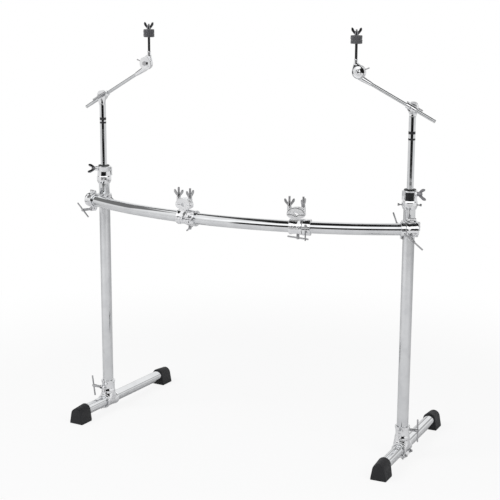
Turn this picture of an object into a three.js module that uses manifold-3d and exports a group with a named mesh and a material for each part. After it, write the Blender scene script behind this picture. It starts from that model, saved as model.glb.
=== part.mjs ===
// A free-standing drum rack: one curved bar on two posts, two foot bars, two boom arms and two holder clamps.
// Millimetres, +Z up. The bar bulges towards -Y, the side of the audience, and -X is the left of that view.
import * as THREE from "three";
import { mergeVertices } from "three/addons/utils/BufferGeometryUtils.js";
import Module from "manifold-3d";

// Driving dimensions of the whole rack
const POST_SPACING = 1124;
const BAR_HEIGHT = 782;
const BAR_BEND_RADIUS = 1253;
const BAR_OVERHANG = 21;
const CROSSING_DISTANCE = 46;
const TUBE_DIAMETER = 38.1;
const TUBE_WALL = 2;
const FOOT_AXIS_HEIGHT = 36;
const FIT = 0.3;
const TUBE_FIT = 0.45;
const OVERRUN = 5;

// Counts of facets, which follow no size
const TUBE_SIDES = 16;
const BORE_SIDES = 16;
const ROD_SIDES = 8;
const BAR_STEPS = 24;
const FLARE_STEPS = 2;

// Hinged tube jaw: half a ring on the clamp, half a ring on the cap, a hinge on one side, a screw on the other
const JAW_WIDTH = 38;
const JAW_WAIST_RADIUS = 22.6;
const JAW_RIM_RADIUS = 25.2;
const JAW_SPLIT = 1.5;
const HINGE_OFFSET = 31;
const KNUCKLE_RADIUS = 5.4;
const HINGE_PIN_RADIUS = 2.2;
const CENTRE_KNUCKLE_LENGTH = 12;
const HINGE_LENGTH = 28;
const SCREW_OFFSET = 31;
const LUG_THICKNESS = 9;
const LUG_WIDTH = 16;

// Screw with a cross bar, the same on every jaw
const SHANK_RADIUS = 3;
const SCREW_TAIL = 13;
const CROSS_BAR_REACH = 42.5;
const CROSS_BAR_LENGTH = 80;
const CROSS_BAR_RADIUS = 2.7;
const BARREL_RADIUS = 5.2;
const BARREL_NECK_RADIUS = 4.2;
const FLANGE_RADIUS = 7;
const FLANGE_THICKNESS = 2.5;
const BARREL_END = 4.5;

// Stop rings on the bar
const CORNER_RING_WIDTH = 15;
const HOLDER_RING_WIDTH = 26;
const CORNER_RING_RADIUS = 24.4;
const HOLDER_RING_RADIUS = 26.6;
const RING_GAP = 1;
const RING_SLIT = 2.4;
const RING_LUG_REACH = 9;
const RING_LUG_WIDTH = 11;
const KEY_BOLT_RADIUS = 2.4;
const KEY_BOLT_HEAD = 3.4;
const KEY_BOLT_TAIL = 12;
const LONG_KEY_BOLT_TAIL = 38;

// Foot bars
const FOOT_TUBE_LENGTH = 546;
const FOOT_CAP_LENGTH = 60;
const FOOT_CAP_OVERLAP = 46;
const FOOT_BASE_WIDTH = 54;
const FOOT_TOP_RADIUS = 22.4;
const FOOT_SHOULDER_HEIGHT = 38.6;
const FOOT_BASE_FLAT = 6;
const FOOT_LEAN_SHARE = 0.1;
const FOOT_SLOPE_SHARE = 0.08;
const LEFT_FOOT_SHIFT = -91;
const RIGHT_FOOT_SHIFT = 61;
const LEG_EYE_LENGTH = 66;
const LEG_JAW_CENTRE = 54;
const LEG_JAW_WIDTH = 44;
const PINCH_LUG_REACH = 7;
const PINCH_LUG_THICKNESS = 5;
const PINCH_BOLT_SPACING = 50;
const PINCH_BOLT_RADIUS = 3;
const PINCH_HEAD_RADIUS = 5;
const PINCH_HEAD_HEIGHT = 4;
const PINCH_ANGLE = 50;

// Post and the clamp on its top end
const POST_TOP_HEIGHT = 862;
const POST_SLOT_WIDTH = 3;
const POST_SLOT_DEPTH = 50;
const POST_SLOT_END_RADIUS = 3.4;
const POST_SLOT_ANGLE = -72;
const COLLAR_DROP = 24;
const COLLAR_CONE = 11;
const COLLAR_RADIUS = 25.4;
const COLLAR_LIP_RADIUS = 21;
const CAGE_RADIUS = 23.6;
const CAGE_HEIGHT = 38;
const CAGE_FLOOR = 4;
const CAGE_WAIST = 1.2;
const WINDOW_WIDTH = 30;
const WINDOW_HEIGHT = 26;
const WINDOW_SILL = 6;
const WINDOW_ANGLE = -62;
const BUSHING_WALL = 5.6;
const BUSHING_SLIT = 2;
const BUSHING_LIP_HEIGHT = 2.5;
const BUSHING_LIP_RADIUS = 19.4;
const WING_BOSS_RADIUS = 8;
const WING_BOSS_REACH = 30;
const WING_BOSS_HEIGHT = 28;
const SET_BOLT_RADIUS = 2.1;
const SET_BOLT_REACH = 38;
const SET_BOLT_DROP = 10;

// Boom arm
const BOOM_TUBE_DIAMETER = 22.2;
const BOOM_TUBE_WALL = 1.6;
const BOOM_TUBE_LENGTH = 560;
const LEFT_HUB_HEIGHT = 1147;
const RIGHT_HUB_HEIGHT = 1162;
const HUB_RADIUS = 17.5;
const HUB_EAR_THICKNESS = 8.6;
const HUB_NECK_DROP = 30;
const HUB_NECK_TAPER = 16;
const HUB_SEAM_DEPTH = 0.6;
const HUB_SEAM_WIDTH = 1.6;
const HUB_SCREW_REACH = 22;
const HUB_SCREW_SPAN = 58;
const RUNNING_GAP = 0.3;
const ROD_DIAMETER = 11;
const ROD_OFFSET = 15;
const ROD_TAIL = 88;
const ROD_CLAMP_RADIUS = 9.5;
const ROD_CLAMP_INNER_END = 17;
const ROD_CLAMP_OUTER_END = 18.5;
const TAIL_BAND_WIDTH = 3;
const TAIL_BAND_DEPTH = 0.7;

// Tilter at the end of the boom rod, and the cymbal seat on it
const TILTER_REACH = 203;
const TILTER_RISE = 13;
const TILTER_RADIUS = 22;
const TILTER_THICKNESS = 8.6;
const TILTER_SOCKET_RADIUS = 9;
const TILTER_SOCKET_LENGTH = 34;
const TILTER_BOSS_RADIUS = 8.5;
const TILTER_BOSS_HEIGHT = 3.4;
const TILTER_RIM_WIDTH = 3.2;
const TILTER_RIM_DEPTH = 1.6;
const TILTER_STUB_RADIUS = 2;
const TILTER_STUB_REACH = 36;
const TILTER_STUB_ANGLE = 50;
const SEAT_OFFSET = 9;
const SEAT_ARM_RADIUS = 7.6;
const SEAT_ARM_RISE = 24;
const SEAT_COLLAR_RADIUS = 6.4;
const SEAT_COLLAR_TOP = 42;
const SLEEVE_RADIUS = 4.2;
const FELT_BOTTOM = 88.5;
const FELT_STACK = 26;
const FELT_RADIUS = 17.8;
const FELT_ROUNDING = 1.6;
const SEAT_THREAD_RADIUS = 3.1;
const SEAT_THREAD_TOP = 133;

// Wing nut, also the head of the wing screws
const WING_SPAN = 34;
const WING_HEIGHT = 24;
const WING_THICKNESS = 3.6;
const WING_HUB_RADIUS = 6.6;
const WING_HUB_TOP_RADIUS = 5;
const WING_HUB_HEIGHT = 13;
const WING_SCREW_SHANK_RADIUS = 4;
const CLAMP_WING_SPAN = 39;
const CLAMP_WING_HEIGHT = 26;

// Holder clamps on the bar, which grip a holder rod from above and below
const HOLDER_JAW_WIDTH = 42;
const GRIP_WIDTH = 60;
const GRIP_DEPTH = 21;
const GRIP_SPLIT_HEIGHT = 41;
const LOWER_GRIP_DEPTH = 16;
const UPPER_GRIP_RISE = 22;
const GRIP_GAP = 1.2;
const GRIP_NOTCH_WIDTH = 17;
const GRIP_NOTCH_DEPTH = 4.6;
const GRIP_STUD_SPACING = 45;
const GRIP_STUD_RADIUS = 3.7;
const GRIP_STUD_TOP = 98;
const GRIP_BOSS_RADIUS = 7.4;
const GRIP_BOSS_RISE = 24;
const GRIP_NECK_WIDTH = 26;

// Angles in degrees, as the rack is set in its photographed pose
const HOLDER_ANGLES = { left: -6.95, right: 11.05 };
const BOOM_ANGLES = { left: 31, right: 26.8 };
const FOOT_SWINGS = { left: -5.4, right: -1.1 };
const SIDE_TURNS = { left: 180, right: 0 };
const TOP_CLAMP_TURNS = { left: 205, right: -13 };
const SET_BOLT_TURNS = { left: -59, right: 30 };
const BAR_SCREW_TILTS = { left: 29, right: 42 };
const POST_SCREW_TILTS = { left: 62, right: 20 };
const LEG_SCREW_TILTS = { left: 10, right: -3 };
const HOLDER_SCREW_TILTS = { left: -70, right: -23 };
const WING_TURNS = { left: 8, right: 14 };
const CLAMP_WING_TURNS = { left: 50, right: 12 };
const HOLDER_RING_TURNS = { left: -90, right: -90 };
const REAR_WING_TURN = 78;

// The corner radius of a faceted bore whose flats keep clear of a round bar
function boreAround(radius) {
  return radius / Math.cos(Math.PI / BORE_SIDES);
}

// What follows from the sizes above
const TUBE_RADIUS = TUBE_DIAMETER / 2;
const TUBE_BORE_RADIUS = TUBE_RADIUS - TUBE_WALL;
const JAW_BORE_RADIUS = boreAround(TUBE_RADIUS + TUBE_FIT);
const POST_RING_RADIUS = BAR_BEND_RADIUS - CROSSING_DISTANCE;
const BEND_CENTRE_Y = Math.sqrt(POST_RING_RADIUS ** 2 - (POST_SPACING / 2) ** 2);
const CORNER_ANGLE = Math.asin(POST_SPACING / 2 / POST_RING_RADIUS);
const BOOM_TUBE_RADIUS = BOOM_TUBE_DIAMETER / 2;
const BUSHING_BORE_RADIUS = boreAround(BOOM_TUBE_RADIUS + FIT);
const BUSHING_RADIUS = BUSHING_BORE_RADIUS + BUSHING_WALL;
const ROD_RADIUS = ROD_DIAMETER / 2;
const ROD_BORE_RADIUS = boreAround(ROD_RADIUS + FIT);
const HUB_HEIGHTS = { left: LEFT_HUB_HEIGHT, right: RIGHT_HUB_HEIGHT };
const FOOT_SHIFTS = { left: LEFT_FOOT_SHIFT, right: RIGHT_FOOT_SHIFT };
const RING_BOLT_TAILS = { left: KEY_BOLT_TAIL, right: LONG_KEY_BOLT_TAIL };

// Finishes
const chrome = { color: 0xd9dcdf, roughness: 0.08, metalness: 1 };
const castChrome = { color: 0xcfd2d6, roughness: 0.14, metalness: 1 };
const blackRubber = { color: 0x1c1d1f, roughness: 0.78, metalness: 0 };
const blackNylon = { color: 0x101114, roughness: 0.45, metalness: 0 };
const greyFelt = { color: 0x3c3d42, roughness: 0.98, metalness: 0 };

const X_AXIS = new THREE.Vector3(1, 0, 0);
const Y_AXIS = new THREE.Vector3(0, 1, 0);
const Z_AXIS = new THREE.Vector3(0, 0, 1);

const wasm = await Module();
wasm.setup();

const radians = (degrees) => THREE.MathUtils.degToRad(degrees);

// Solids, joins and cuts
function toSolid(geometry) {
  const bare = geometry.clone();
  bare.deleteAttribute("normal");
  bare.deleteAttribute("uv");
  const merged = mergeVertices(bare);
  return new wasm.Manifold(
    new wasm.Mesh({
      numProp: 3,
      vertProperties: new Float32Array(merged.attributes.position.array),
      triVerts: new Uint32Array(merged.index.array),
    }),
  );
}

function toGeometry(solid) {
  const mesh = solid.getMesh();
  const geometry = new THREE.BufferGeometry();
  geometry.setAttribute("position", new THREE.BufferAttribute(new Float32Array(mesh.vertProperties), 3));
  geometry.setIndex(new THREE.BufferAttribute(new Uint32Array(mesh.triVerts), 1));
  return geometry;
}

function join(...geometries) {
  return toGeometry(geometries.map(toSolid).reduce((all, next) => all.add(next)));
}

function cut(geometry, ...tools) {
  return toGeometry(tools.map(toSolid).reduce((left, tool) => left.subtract(tool), toSolid(geometry)));
}

function overlapOf(first, second) {
  return toGeometry(toSolid(first).intersect(toSolid(second)));
}

// Plain shapes, each along Z and centred unless it says otherwise
function revolve(profile, sides) {
  const points = profile.map(([radius, height]) => new THREE.Vector2(radius, height));
  return new THREE.LatheGeometry(points, sides).rotateX(Math.PI / 2);
}

function rod(radius, length, sides = ROD_SIDES) {
  return new THREE.CylinderGeometry(radius, radius, length, sides).rotateX(Math.PI / 2);
}

function rodBetween(radius, from, to, sides = ROD_SIDES) {
  return rod(radius, to - from, sides).translate(0, 0, (from + to) / 2);
}

function tube(outer, inner, from, to, sides = TUBE_SIDES) {
  return revolve(
    [[inner, from], [outer, from], [outer, to], [inner, to], [inner, from]],
    sides,
  );
}

function block(x0, x1, y0, y1, z0, z1) {
  return new THREE.BoxGeometry(x1 - x0, y1 - y0, z1 - z0).translate(
    (x0 + x1) / 2,
    (y0 + y1) / 2,
    (z0 + z1) / 2,
  );
}

function plate(shape, thickness, curveSegments = 8) {
  const settings = { depth: thickness, bevelEnabled: false, curveSegments };
  return new THREE.ExtrudeGeometry(shape, settings).translate(0, 0, -thickness / 2);
}

// Puts the shape's own X and Y along two given directions
function turnTo(geometry, xDirection, yDirection) {
  const zDirection = new THREE.Vector3().crossVectors(xDirection, yDirection);
  return geometry.applyMatrix4(new THREE.Matrix4().makeBasis(xDirection, yDirection, zDirection));
}

// A tongue with a round end: from x = 0 to the centre of its end
function tongueShape(reach, halfWidth) {
  const shape = new THREE.Shape();
  shape.moveTo(0, halfWidth);
  shape.lineTo(-reach, halfWidth);
  shape.absarc(-reach, 0, halfWidth, Math.PI / 2, (3 * Math.PI) / 2, false);
  shape.lineTo(0, -halfWidth);
  return shape;
}

// The outline of two circles and the straight lines that touch both
function dropShape(bigRadius, smallRadius, distance, direction) {
  const lean = Math.acos((bigRadius - smallRadius) / distance);
  const tip = new THREE.Vector2(Math.cos(direction), Math.sin(direction)).multiplyScalar(distance);
  const shape = new THREE.Shape();
  shape.absarc(0, 0, bigRadius, direction + lean, direction - lean + 2 * Math.PI, false);
  shape.absarc(tip.x, tip.y, smallRadius, direction - lean, direction + lean, false);
  return shape;
}

// Jaw ring: its rims stand higher than its waist, so that the outside is a saddle
function flaredRing(width, waistRadius, rimRadius) {
  const half = width / 2;
  const profile = [[JAW_BORE_RADIUS, -half]];
  for (let step = -FLARE_STEPS; step <= FLARE_STEPS; step++) {
    const share = step / FLARE_STEPS;
    profile.push([waistRadius + (rimRadius - waistRadius) * share ** 2, half * share]);
  }
  profile.push([JAW_BORE_RADIUS, half], [JAW_BORE_RADIUS, -half]);
  return revolve(profile, BORE_SIDES);
}

// Half of a jaw ring on the side of +Y (side 1) or -Y (side -1)
function jawHalf(width, side) {
  const reach = JAW_RIM_RADIUS + OVERRUN;
  const near = (side * JAW_SPLIT) / 2;
  const far = side * reach;
  const room = block(-reach, reach, Math.min(near, far), Math.max(near, far), -width, width);
  return overlapOf(flaredRing(width, JAW_WAIST_RADIUS, JAW_RIM_RADIUS), room);
}

function screwLug(side) {
  const near = (side * JAW_SPLIT) / 2;
  const far = side * LUG_THICKNESS;
  return turnTo(plate(tongueShape(SCREW_OFFSET, LUG_WIDTH / 2), Math.abs(far - near)), X_AXIS, Z_AXIS)
    .translate(0, (near + far) / 2, 0);
}

function knuckle(side, from, to) {
  const near = (side * JAW_SPLIT) / 2;
  const far = side * KNUCKLE_RADIUS;
  const web = block(JAW_BORE_RADIUS, HINGE_OFFSET, Math.min(near, far), Math.max(near, far), from, to);
  const barrel = rodBetween(KNUCKLE_RADIUS, from, to).translate(HINGE_OFFSET, 0, 0);
  return join(web, barrel);
}

function jawBore(length) {
  return rod(JAW_BORE_RADIUS, length, BORE_SIDES);
}

// The half on the clamp: two outer knuckles with the hinge pin, and a lug that the screw runs into
function jawBodyHalf(width) {
  const inner = CENTRE_KNUCKLE_LENGTH / 2 + FIT;
  const outer = HINGE_LENGTH / 2;
  const solid = join(
    jawHalf(width, 1),
    screwLug(1),
    knuckle(1, inner, outer),
    knuckle(1, -outer, -inner),
    rod(HINGE_PIN_RADIUS, HINGE_LENGTH).translate(HINGE_OFFSET, 0, 0),
  );
  const screwHole = rod(SHANK_RADIUS + FIT, SCREW_OFFSET).rotateX(Math.PI / 2).translate(-SCREW_OFFSET, 0, 0);
  return cut(solid, screwHole, jawBore(2 * width));
}

// The cap: the centre knuckle and a lug with a slot, open at its end, that the screw stands in
function jawCap(width) {
  const solid = join(
    jawHalf(width, -1),
    screwLug(-1),
    knuckle(-1, -CENTRE_KNUCKLE_LENGTH / 2, CENTRE_KNUCKLE_LENGTH / 2),
  );
  const slotRadius = SHANK_RADIUS + 2 * FIT;
  const slotEnd = SCREW_OFFSET + LUG_WIDTH;
  const slot = join(
    rod(slotRadius, SCREW_OFFSET).rotateX(Math.PI / 2).translate(-SCREW_OFFSET, 0, 0),
    block(-slotEnd, -SCREW_OFFSET, -SCREW_OFFSET, 0, -slotRadius, slotRadius),
  );
  const pinHole = rod(HINGE_PIN_RADIUS + FIT, HINGE_LENGTH).translate(HINGE_OFFSET, 0, 0);
  return cut(solid, slot, pinHole, jawBore(2 * width)).translate(-HINGE_OFFSET, 0, 0);
}

// The screw runs along Y, with its cross bar at -Y: its tip, the face that its flange meets, and its cross bar
function crossBarScrew(tip, seat, reach, span) {
  const end = reach + BARREL_END;
  const barrel = revolve(
    [
      [0, tip],
      [SHANK_RADIUS, tip],
      [SHANK_RADIUS, seat],
      [FLANGE_RADIUS, seat],
      [FLANGE_RADIUS, seat + FLANGE_THICKNESS],
      [BARREL_NECK_RADIUS, seat + 2 * FLANGE_THICKNESS],
      [BARREL_RADIUS, reach - BARREL_END],
      [BARREL_RADIUS, end - CROSS_BAR_RADIUS / 2],
      [BARREL_NECK_RADIUS, end],
      [0, end],
    ],
    ROD_SIDES,
  ).rotateX(Math.PI / 2);
  const half = span / 2;
  const cap = CROSS_BAR_RADIUS / 2;
  const crossBar = revolve(
    [
      [0, -half],
      [cap, -half],
      [CROSS_BAR_RADIUS, cap - half],
      [CROSS_BAR_RADIUS, half - cap],
      [cap, half],
      [0, half],
    ],
    ROD_SIDES,
  ).translate(0, -reach, 0);
  return join(barrel, crossBar);
}

function jawScrew() {
  return crossBarScrew(-SCREW_TAIL, LUG_THICKNESS + FIT, CROSS_BAR_REACH, CROSS_BAR_LENGTH);
}

// The hub's screw goes through the fixed ear into the turning half, with its cross bar along the boom
function hubScrew() {
  const tip = ROD_RADIUS + 2 * FIT - ROD_OFFSET;
  const seat = HUB_EAR_THICKNESS + FIT;
  return crossBarScrew(tip, seat, HUB_SCREW_REACH, HUB_SCREW_SPAN).rotateX(Math.PI).rotateY(Math.PI / 2);
}

// Stop ring: a slit ring with a key bolt across the slit, which points to -Z before the ring is turned on the bar
function stopRing(width, outerRadius, boltTail, turn) {
  const lugEnd = outerRadius + RING_LUG_REACH - KNUCKLE_RADIUS / 2;
  const ring = tube(outerRadius, JAW_BORE_RADIUS, -width / 2, width / 2, BORE_SIDES).rotateY(Math.PI / 2);
  const half = RING_LUG_WIDTH / 2;
  const lug = block(-width / 2, width / 2, -half, half, -lugEnd, -JAW_BORE_RADIUS);
  const slit = block(-width, width, -RING_SLIT / 2, RING_SLIT / 2, -lugEnd - OVERRUN, 0);
  const boltHeight = (outerRadius + lugEnd) / 2;
  const shank = rodBetween(KEY_BOLT_RADIUS, -boltTail, RING_LUG_WIDTH)
    .rotateX(Math.PI / 2)
    .translate(0, 0, -boltHeight);
  const head = rod(KEY_BOLT_HEAD, RING_LUG_WIDTH / 2, 6)
    .rotateX(Math.PI / 2)
    .translate(0, -RING_LUG_WIDTH, -boltHeight);
  const bore = jawBore(2 * width).rotateY(Math.PI / 2);
  return join(cut(join(ring, lug), slit, bore), shank, head).rotateX(radians(turn));
}

// Curved bar: a tube along an arc about the bend's centre
class BarArc extends THREE.Curve {
  constructor(halfAngle) {
    super();
    this.halfAngle = halfAngle;
  }
  getPoint(share) {
    const angle = this.halfAngle * (2 * share - 1);
    return new THREE.Vector3(Math.sin(angle), -Math.cos(angle), 0).multiplyScalar(BAR_BEND_RADIUS);
  }
}

function curvedBar() {
  const section = new THREE.Shape().absarc(0, 0, TUBE_RADIUS, 0, 2 * Math.PI, false);
  section.holes.push(new THREE.Path().absarc(0, 0, TUBE_BORE_RADIUS, 0, 2 * Math.PI, true));
  return new THREE.ExtrudeGeometry(section, {
    steps: BAR_STEPS,
    curveSegments: TUBE_SIDES / 2,
    extrudePath: new BarArc(CORNER_ANGLE + BAR_OVERHANG / BAR_BEND_RADIUS),
  });
}

// Corner clamp, from the post's axis at the height of the bar: two jaws at right angles, back to back
function barJawTurn(geometry) {
  return turnTo(geometry, Z_AXIS, Y_AXIS).translate(0, -CROSSING_DISTANCE, 0);
}

function postJawTurn(geometry) {
  return turnTo(geometry, X_AXIS, Y_AXIS.clone().negate());
}

function cornerBody() {
  const half = (JAW_WIDTH * 3) / 8;
  const saddle = revolve(
    [
      [0, 0],
      [JAW_RIM_RADIUS, 0],
      [half, CROSSING_DISTANCE / 3],
      [half, (CROSSING_DISTANCE * 2) / 3],
      [JAW_RIM_RADIUS, CROSSING_DISTANCE],
      [0, CROSSING_DISTANCE],
    ],
    BORE_SIDES,
  ).rotateX(Math.PI / 2);
  const solid = join(saddle, barJawTurn(jawBodyHalf(JAW_WIDTH)), postJawTurn(jawBodyHalf(JAW_WIDTH)));
  const room = 2 * JAW_WIDTH;
  const barSplit = -CROSSING_DISTANCE - JAW_SPLIT / 2;
  const beyondBar = block(-room, room, -CROSSING_DISTANCE - room, barSplit, -room, room);
  const pinKeep = barJawTurn(rod(KNUCKLE_RADIUS, HINGE_LENGTH).translate(HINGE_OFFSET, 0, 0));
  const betweenPins = HINGE_OFFSET - KNUCKLE_RADIUS;
  const beyondPost = block(-betweenPins, betweenPins, JAW_SPLIT / 2, room, -room, room);
  return cut(solid, cut(beyondBar, pinKeep), beyondPost, barJawTurn(jawBore(room)), postJawTurn(jawBore(room)));
}

// Leg clamp, from the point where the post's axis meets the foot bar's axis
const LEG_HINGE_SIDE = new THREE.Vector3(0, -1, 0);
const LEG_BODY_SIDE = new THREE.Vector3(-1, 0, 0);

function legJawTurn(geometry) {
  return turnTo(geometry, LEG_HINGE_SIDE, LEG_BODY_SIDE).translate(0, 0, LEG_JAW_CENTRE);
}

function pinchLugs() {
  const start = JAW_BORE_RADIUS + FIT;
  const end = JAW_RIM_RADIUS + PINCH_LUG_REACH;
  const half = LEG_EYE_LENGTH / 2;
  const reach = PINCH_LUG_THICKNESS + RING_SLIT / 2;
  const lugs = block(start, end, -half, half, -reach, reach);
  const boltX = (JAW_RIM_RADIUS + end) / 2;
  const bolts = [-1, 1].map((side) =>
    join(
      rodBetween(PINCH_BOLT_RADIUS, -reach - PINCH_HEAD_HEIGHT, reach + PINCH_HEAD_HEIGHT),
      rodBetween(PINCH_HEAD_RADIUS, -reach - PINCH_HEAD_HEIGHT, -reach + FIT, 6),
    ).translate(boltX, (side * PINCH_BOLT_SPACING) / 2, 0),
  );
  const slit = block(0, end + OVERRUN, -LEG_EYE_LENGTH, LEG_EYE_LENGTH, -RING_SLIT / 2, RING_SLIT / 2);
  return { lugs, bolts, slit };
}

function legClamp() {
  const eye = flaredRing(LEG_EYE_LENGTH, JAW_WAIST_RADIUS, JAW_RIM_RADIUS).rotateX(Math.PI / 2);
  const { lugs, bolts, slit } = pinchLugs();
  const turn = (geometry) => geometry.rotateY(radians(PINCH_ANGLE));
  const jawBottom = LEG_JAW_CENTRE - LEG_JAW_WIDTH / 2;
  const seatTop = jawBottom - FIT;
  const seat = rodBetween(JAW_RIM_RADIUS, 0, seatTop, BORE_SIDES);
  const fillet = revolve(
    [
      [0, TUBE_RADIUS / 2],
      [LEG_EYE_LENGTH / 2 - TUBE_WALL, TUBE_RADIUS / 2],
      [JAW_RIM_RADIUS, seatTop - TUBE_WALL],
      [0, seatTop - TUBE_WALL],
    ],
    BORE_SIDES,
  );
  const footBore = jawBore(2 * LEG_EYE_LENGTH).rotateX(Math.PI / 2);
  const sides = 2 * JAW_RIM_RADIUS;
  const flanks = [-1, 1].map((side) =>
    block(-sides, sides, -LEG_EYE_LENGTH, LEG_EYE_LENGTH, -sides, sides)
      .translate(side * (sides + JAW_RIM_RADIUS), 0, 0),
  );
  const trimmedFillet = cut(fillet, ...flanks);
  const socket = legJawTurn(jawBodyHalf(LEG_JAW_WIDTH));
  const wall = overlapOf(
    tube(JAW_RIM_RADIUS, JAW_BORE_RADIUS, seatTop - FIT - TUBE_WALL, jawBottom + FIT, BORE_SIDES),
    block(-sides, -JAW_SPLIT / 2, -sides, sides, 0, sides),
  );
  const solid = cut(join(eye, seat, trimmedFillet, turn(lugs)), turn(slit), footBore);
  return join(solid, wall, socket, ...bolts.map(turn));
}

// Rubber foot: an arched block whose sides flare to a flat base and lean in towards its closed outer end at -Y
function footShape() {
  const rise = FOOT_SHOULDER_HEIGHT - FOOT_BASE_FLAT;
  const reach = Math.hypot(FOOT_BASE_WIDTH / 2, rise);
  const touch = Math.acos(FOOT_TOP_RADIUS / reach) - Math.atan2(rise, FOOT_BASE_WIDTH / 2);
  const shape = new THREE.Shape();
  shape.moveTo(FOOT_BASE_WIDTH / 2, 0);
  shape.lineTo(FOOT_BASE_WIDTH / 2, FOOT_BASE_FLAT);
  shape.absarc(0, FOOT_SHOULDER_HEIGHT, FOOT_TOP_RADIUS, touch, Math.PI - touch, false);
  shape.lineTo(-FOOT_BASE_WIDTH / 2, FOOT_BASE_FLAT);
  shape.lineTo(-FOOT_BASE_WIDTH / 2, 0);
  return shape;
}

function leanIn(geometry) {
  const points = geometry.attributes.position;
  const top = FOOT_SHOULDER_HEIGHT + FOOT_TOP_RADIUS;
  for (let i = 0; i < points.count; i++) {
    const outwards = 1 / 2 - points.getY(i) / FOOT_CAP_LENGTH;
    const height = points.getZ(i) / top;
    points.setX(i, points.getX(i) * (1 - FOOT_LEAN_SHARE * outwards * height));
    points.setZ(i, points.getZ(i) * (1 - FOOT_SLOPE_SHARE * outwards));
  }
  return geometry;
}

function rubberFoot() {
  const arch = turnTo(plate(footShape(), FOOT_CAP_LENGTH, 16), X_AXIS, Z_AXIS);
  const solid = leanIn(arch).translate(0, 0, -FOOT_AXIS_HEIGHT);
  const socket = rod(JAW_BORE_RADIUS, FOOT_CAP_OVERLAP + OVERRUN, BORE_SIDES)
    .rotateX(Math.PI / 2)
    .translate(0, (FOOT_CAP_OVERLAP + OVERRUN - FOOT_CAP_LENGTH) / 2 + FOOT_CAP_LENGTH - FOOT_CAP_OVERLAP, 0);
  return cut(solid, socket);
}

// Clamp on the post's top end, from the post's top: a collar over the tube, and a cage with a window for the bushing
function postTopClamp(boltTurn) {
  const inside = BUSHING_RADIUS + FIT;
  const cageTop = CAGE_HEIGHT;
  const middle = CAGE_HEIGHT / 2;
  const solid = revolve(
    [
      [JAW_BORE_RADIUS, -COLLAR_DROP],
      [COLLAR_LIP_RADIUS, -COLLAR_DROP],
      [COLLAR_RADIUS, COLLAR_CONE - COLLAR_DROP],
      [COLLAR_RADIUS, 0],
      [CAGE_RADIUS, CAGE_FLOOR],
      [CAGE_RADIUS - CAGE_WAIST, middle],
      [CAGE_RADIUS, cageTop - TUBE_WALL],
      [CAGE_RADIUS - TUBE_WALL, cageTop],
      [inside, cageTop],
      [inside, FIT],
      [JAW_BORE_RADIUS, FIT],
      [JAW_BORE_RADIUS, -COLLAR_DROP],
    ],
    BORE_SIDES,
  );
  const window = block(
    inside - OVERRUN,
    CAGE_RADIUS + OVERRUN,
    -WINDOW_WIDTH / 2,
    WINDOW_WIDTH / 2,
    WINDOW_SILL,
    WINDOW_SILL + WINDOW_HEIGHT,
  ).rotateZ(radians(WINDOW_ANGLE));
  const boss = rodBetween(WING_BOSS_RADIUS, inside, WING_BOSS_REACH)
    .rotateY(Math.PI / 2)
    .translate(0, 0, WING_BOSS_HEIGHT);
  const screwHole = rodBetween(boreAround(WING_SCREW_SHANK_RADIUS + FIT), 0, WING_BOSS_REACH + OVERRUN, BORE_SIDES)
    .rotateY(Math.PI / 2)
    .translate(0, 0, WING_BOSS_HEIGHT);
  const bolts = [0, Math.PI].map((turn) =>
    rodBetween(SET_BOLT_RADIUS, JAW_BORE_RADIUS, SET_BOLT_REACH)
      .rotateY(Math.PI / 2)
      .rotateZ(turn + radians(boltTurn))
      .translate(0, 0, -SET_BOLT_DROP),
  );
  const keepBore = rodBetween(inside, FIT, cageTop + OVERRUN, BORE_SIDES);
  const hingeBarrel = rodBetween(KNUCKLE_RADIUS, CAGE_FLOOR, cageTop - CAGE_FLOOR).translate(-CAGE_RADIUS, 0, 0);
  return join(cut(join(solid, boss, hingeBarrel), window, screwHole, keepBore), ...bolts);
}

function bushing() {
  const top = CAGE_HEIGHT + FIT;
  const solid = revolve(
    [
      [BUSHING_BORE_RADIUS, CAGE_FLOOR],
      [BUSHING_RADIUS, CAGE_FLOOR],
      [BUSHING_RADIUS, top],
      [BUSHING_LIP_RADIUS, top],
      [BUSHING_LIP_RADIUS, top + BUSHING_LIP_HEIGHT],
      [BUSHING_BORE_RADIUS, top + BUSHING_LIP_HEIGHT],
      [BUSHING_BORE_RADIUS, CAGE_FLOOR],
    ],
    BORE_SIDES,
  );
  const slit = block(-BUSHING_LIP_RADIUS - OVERRUN, 0, -BUSHING_SLIT / 2, BUSHING_SLIT / 2, 0, 2 * CAGE_HEIGHT);
  return cut(solid, slit);
}

// Wing nut along +Z from its seat; the wings' outline is given as shares of the half span and of the height
const WING_OUTLINE_SHARES = [
  [0.1, 0.02],
  [0.42, 0.1],
  [0.8, 0.42],
  [1, 0.62],
  [1, 0.96],
  [0.86, 1],
  [0.62, 0.94],
  [0.4, 0.58],
  [0.1, 0.42],
];

function wings(span, height) {
  const points = WING_OUTLINE_SHARES.map(([x, z]) => new THREE.Vector2((x * span) / 2, z * height));
  const mirrored = points.map((point) => new THREE.Vector2(-point.x, point.y)).reverse();
  return [points, mirrored].map((outline) => {
    const settings = { depth: WING_THICKNESS, bevelEnabled: false };
    return new THREE.ExtrudeGeometry(new THREE.Shape(outline), settings)
      .translate(0, 0, -WING_THICKNESS / 2)
      .rotateX(Math.PI / 2);
  });
}

function wingHead(span, height) {
  const hub = revolve(
    [
      [0, 0],
      [WING_HUB_RADIUS, 0],
      [WING_HUB_TOP_RADIUS, WING_HUB_HEIGHT],
      [0, WING_HUB_HEIGHT],
    ],
    ROD_SIDES + 2,
  );
  return join(hub, ...wings(span, height));
}

function wingNut(studRadius) {
  return cut(wingHead(WING_SPAN, WING_HEIGHT), rod(boreAround(studRadius + FIT), 4 * WING_HEIGHT, BORE_SIDES));
}

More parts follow.
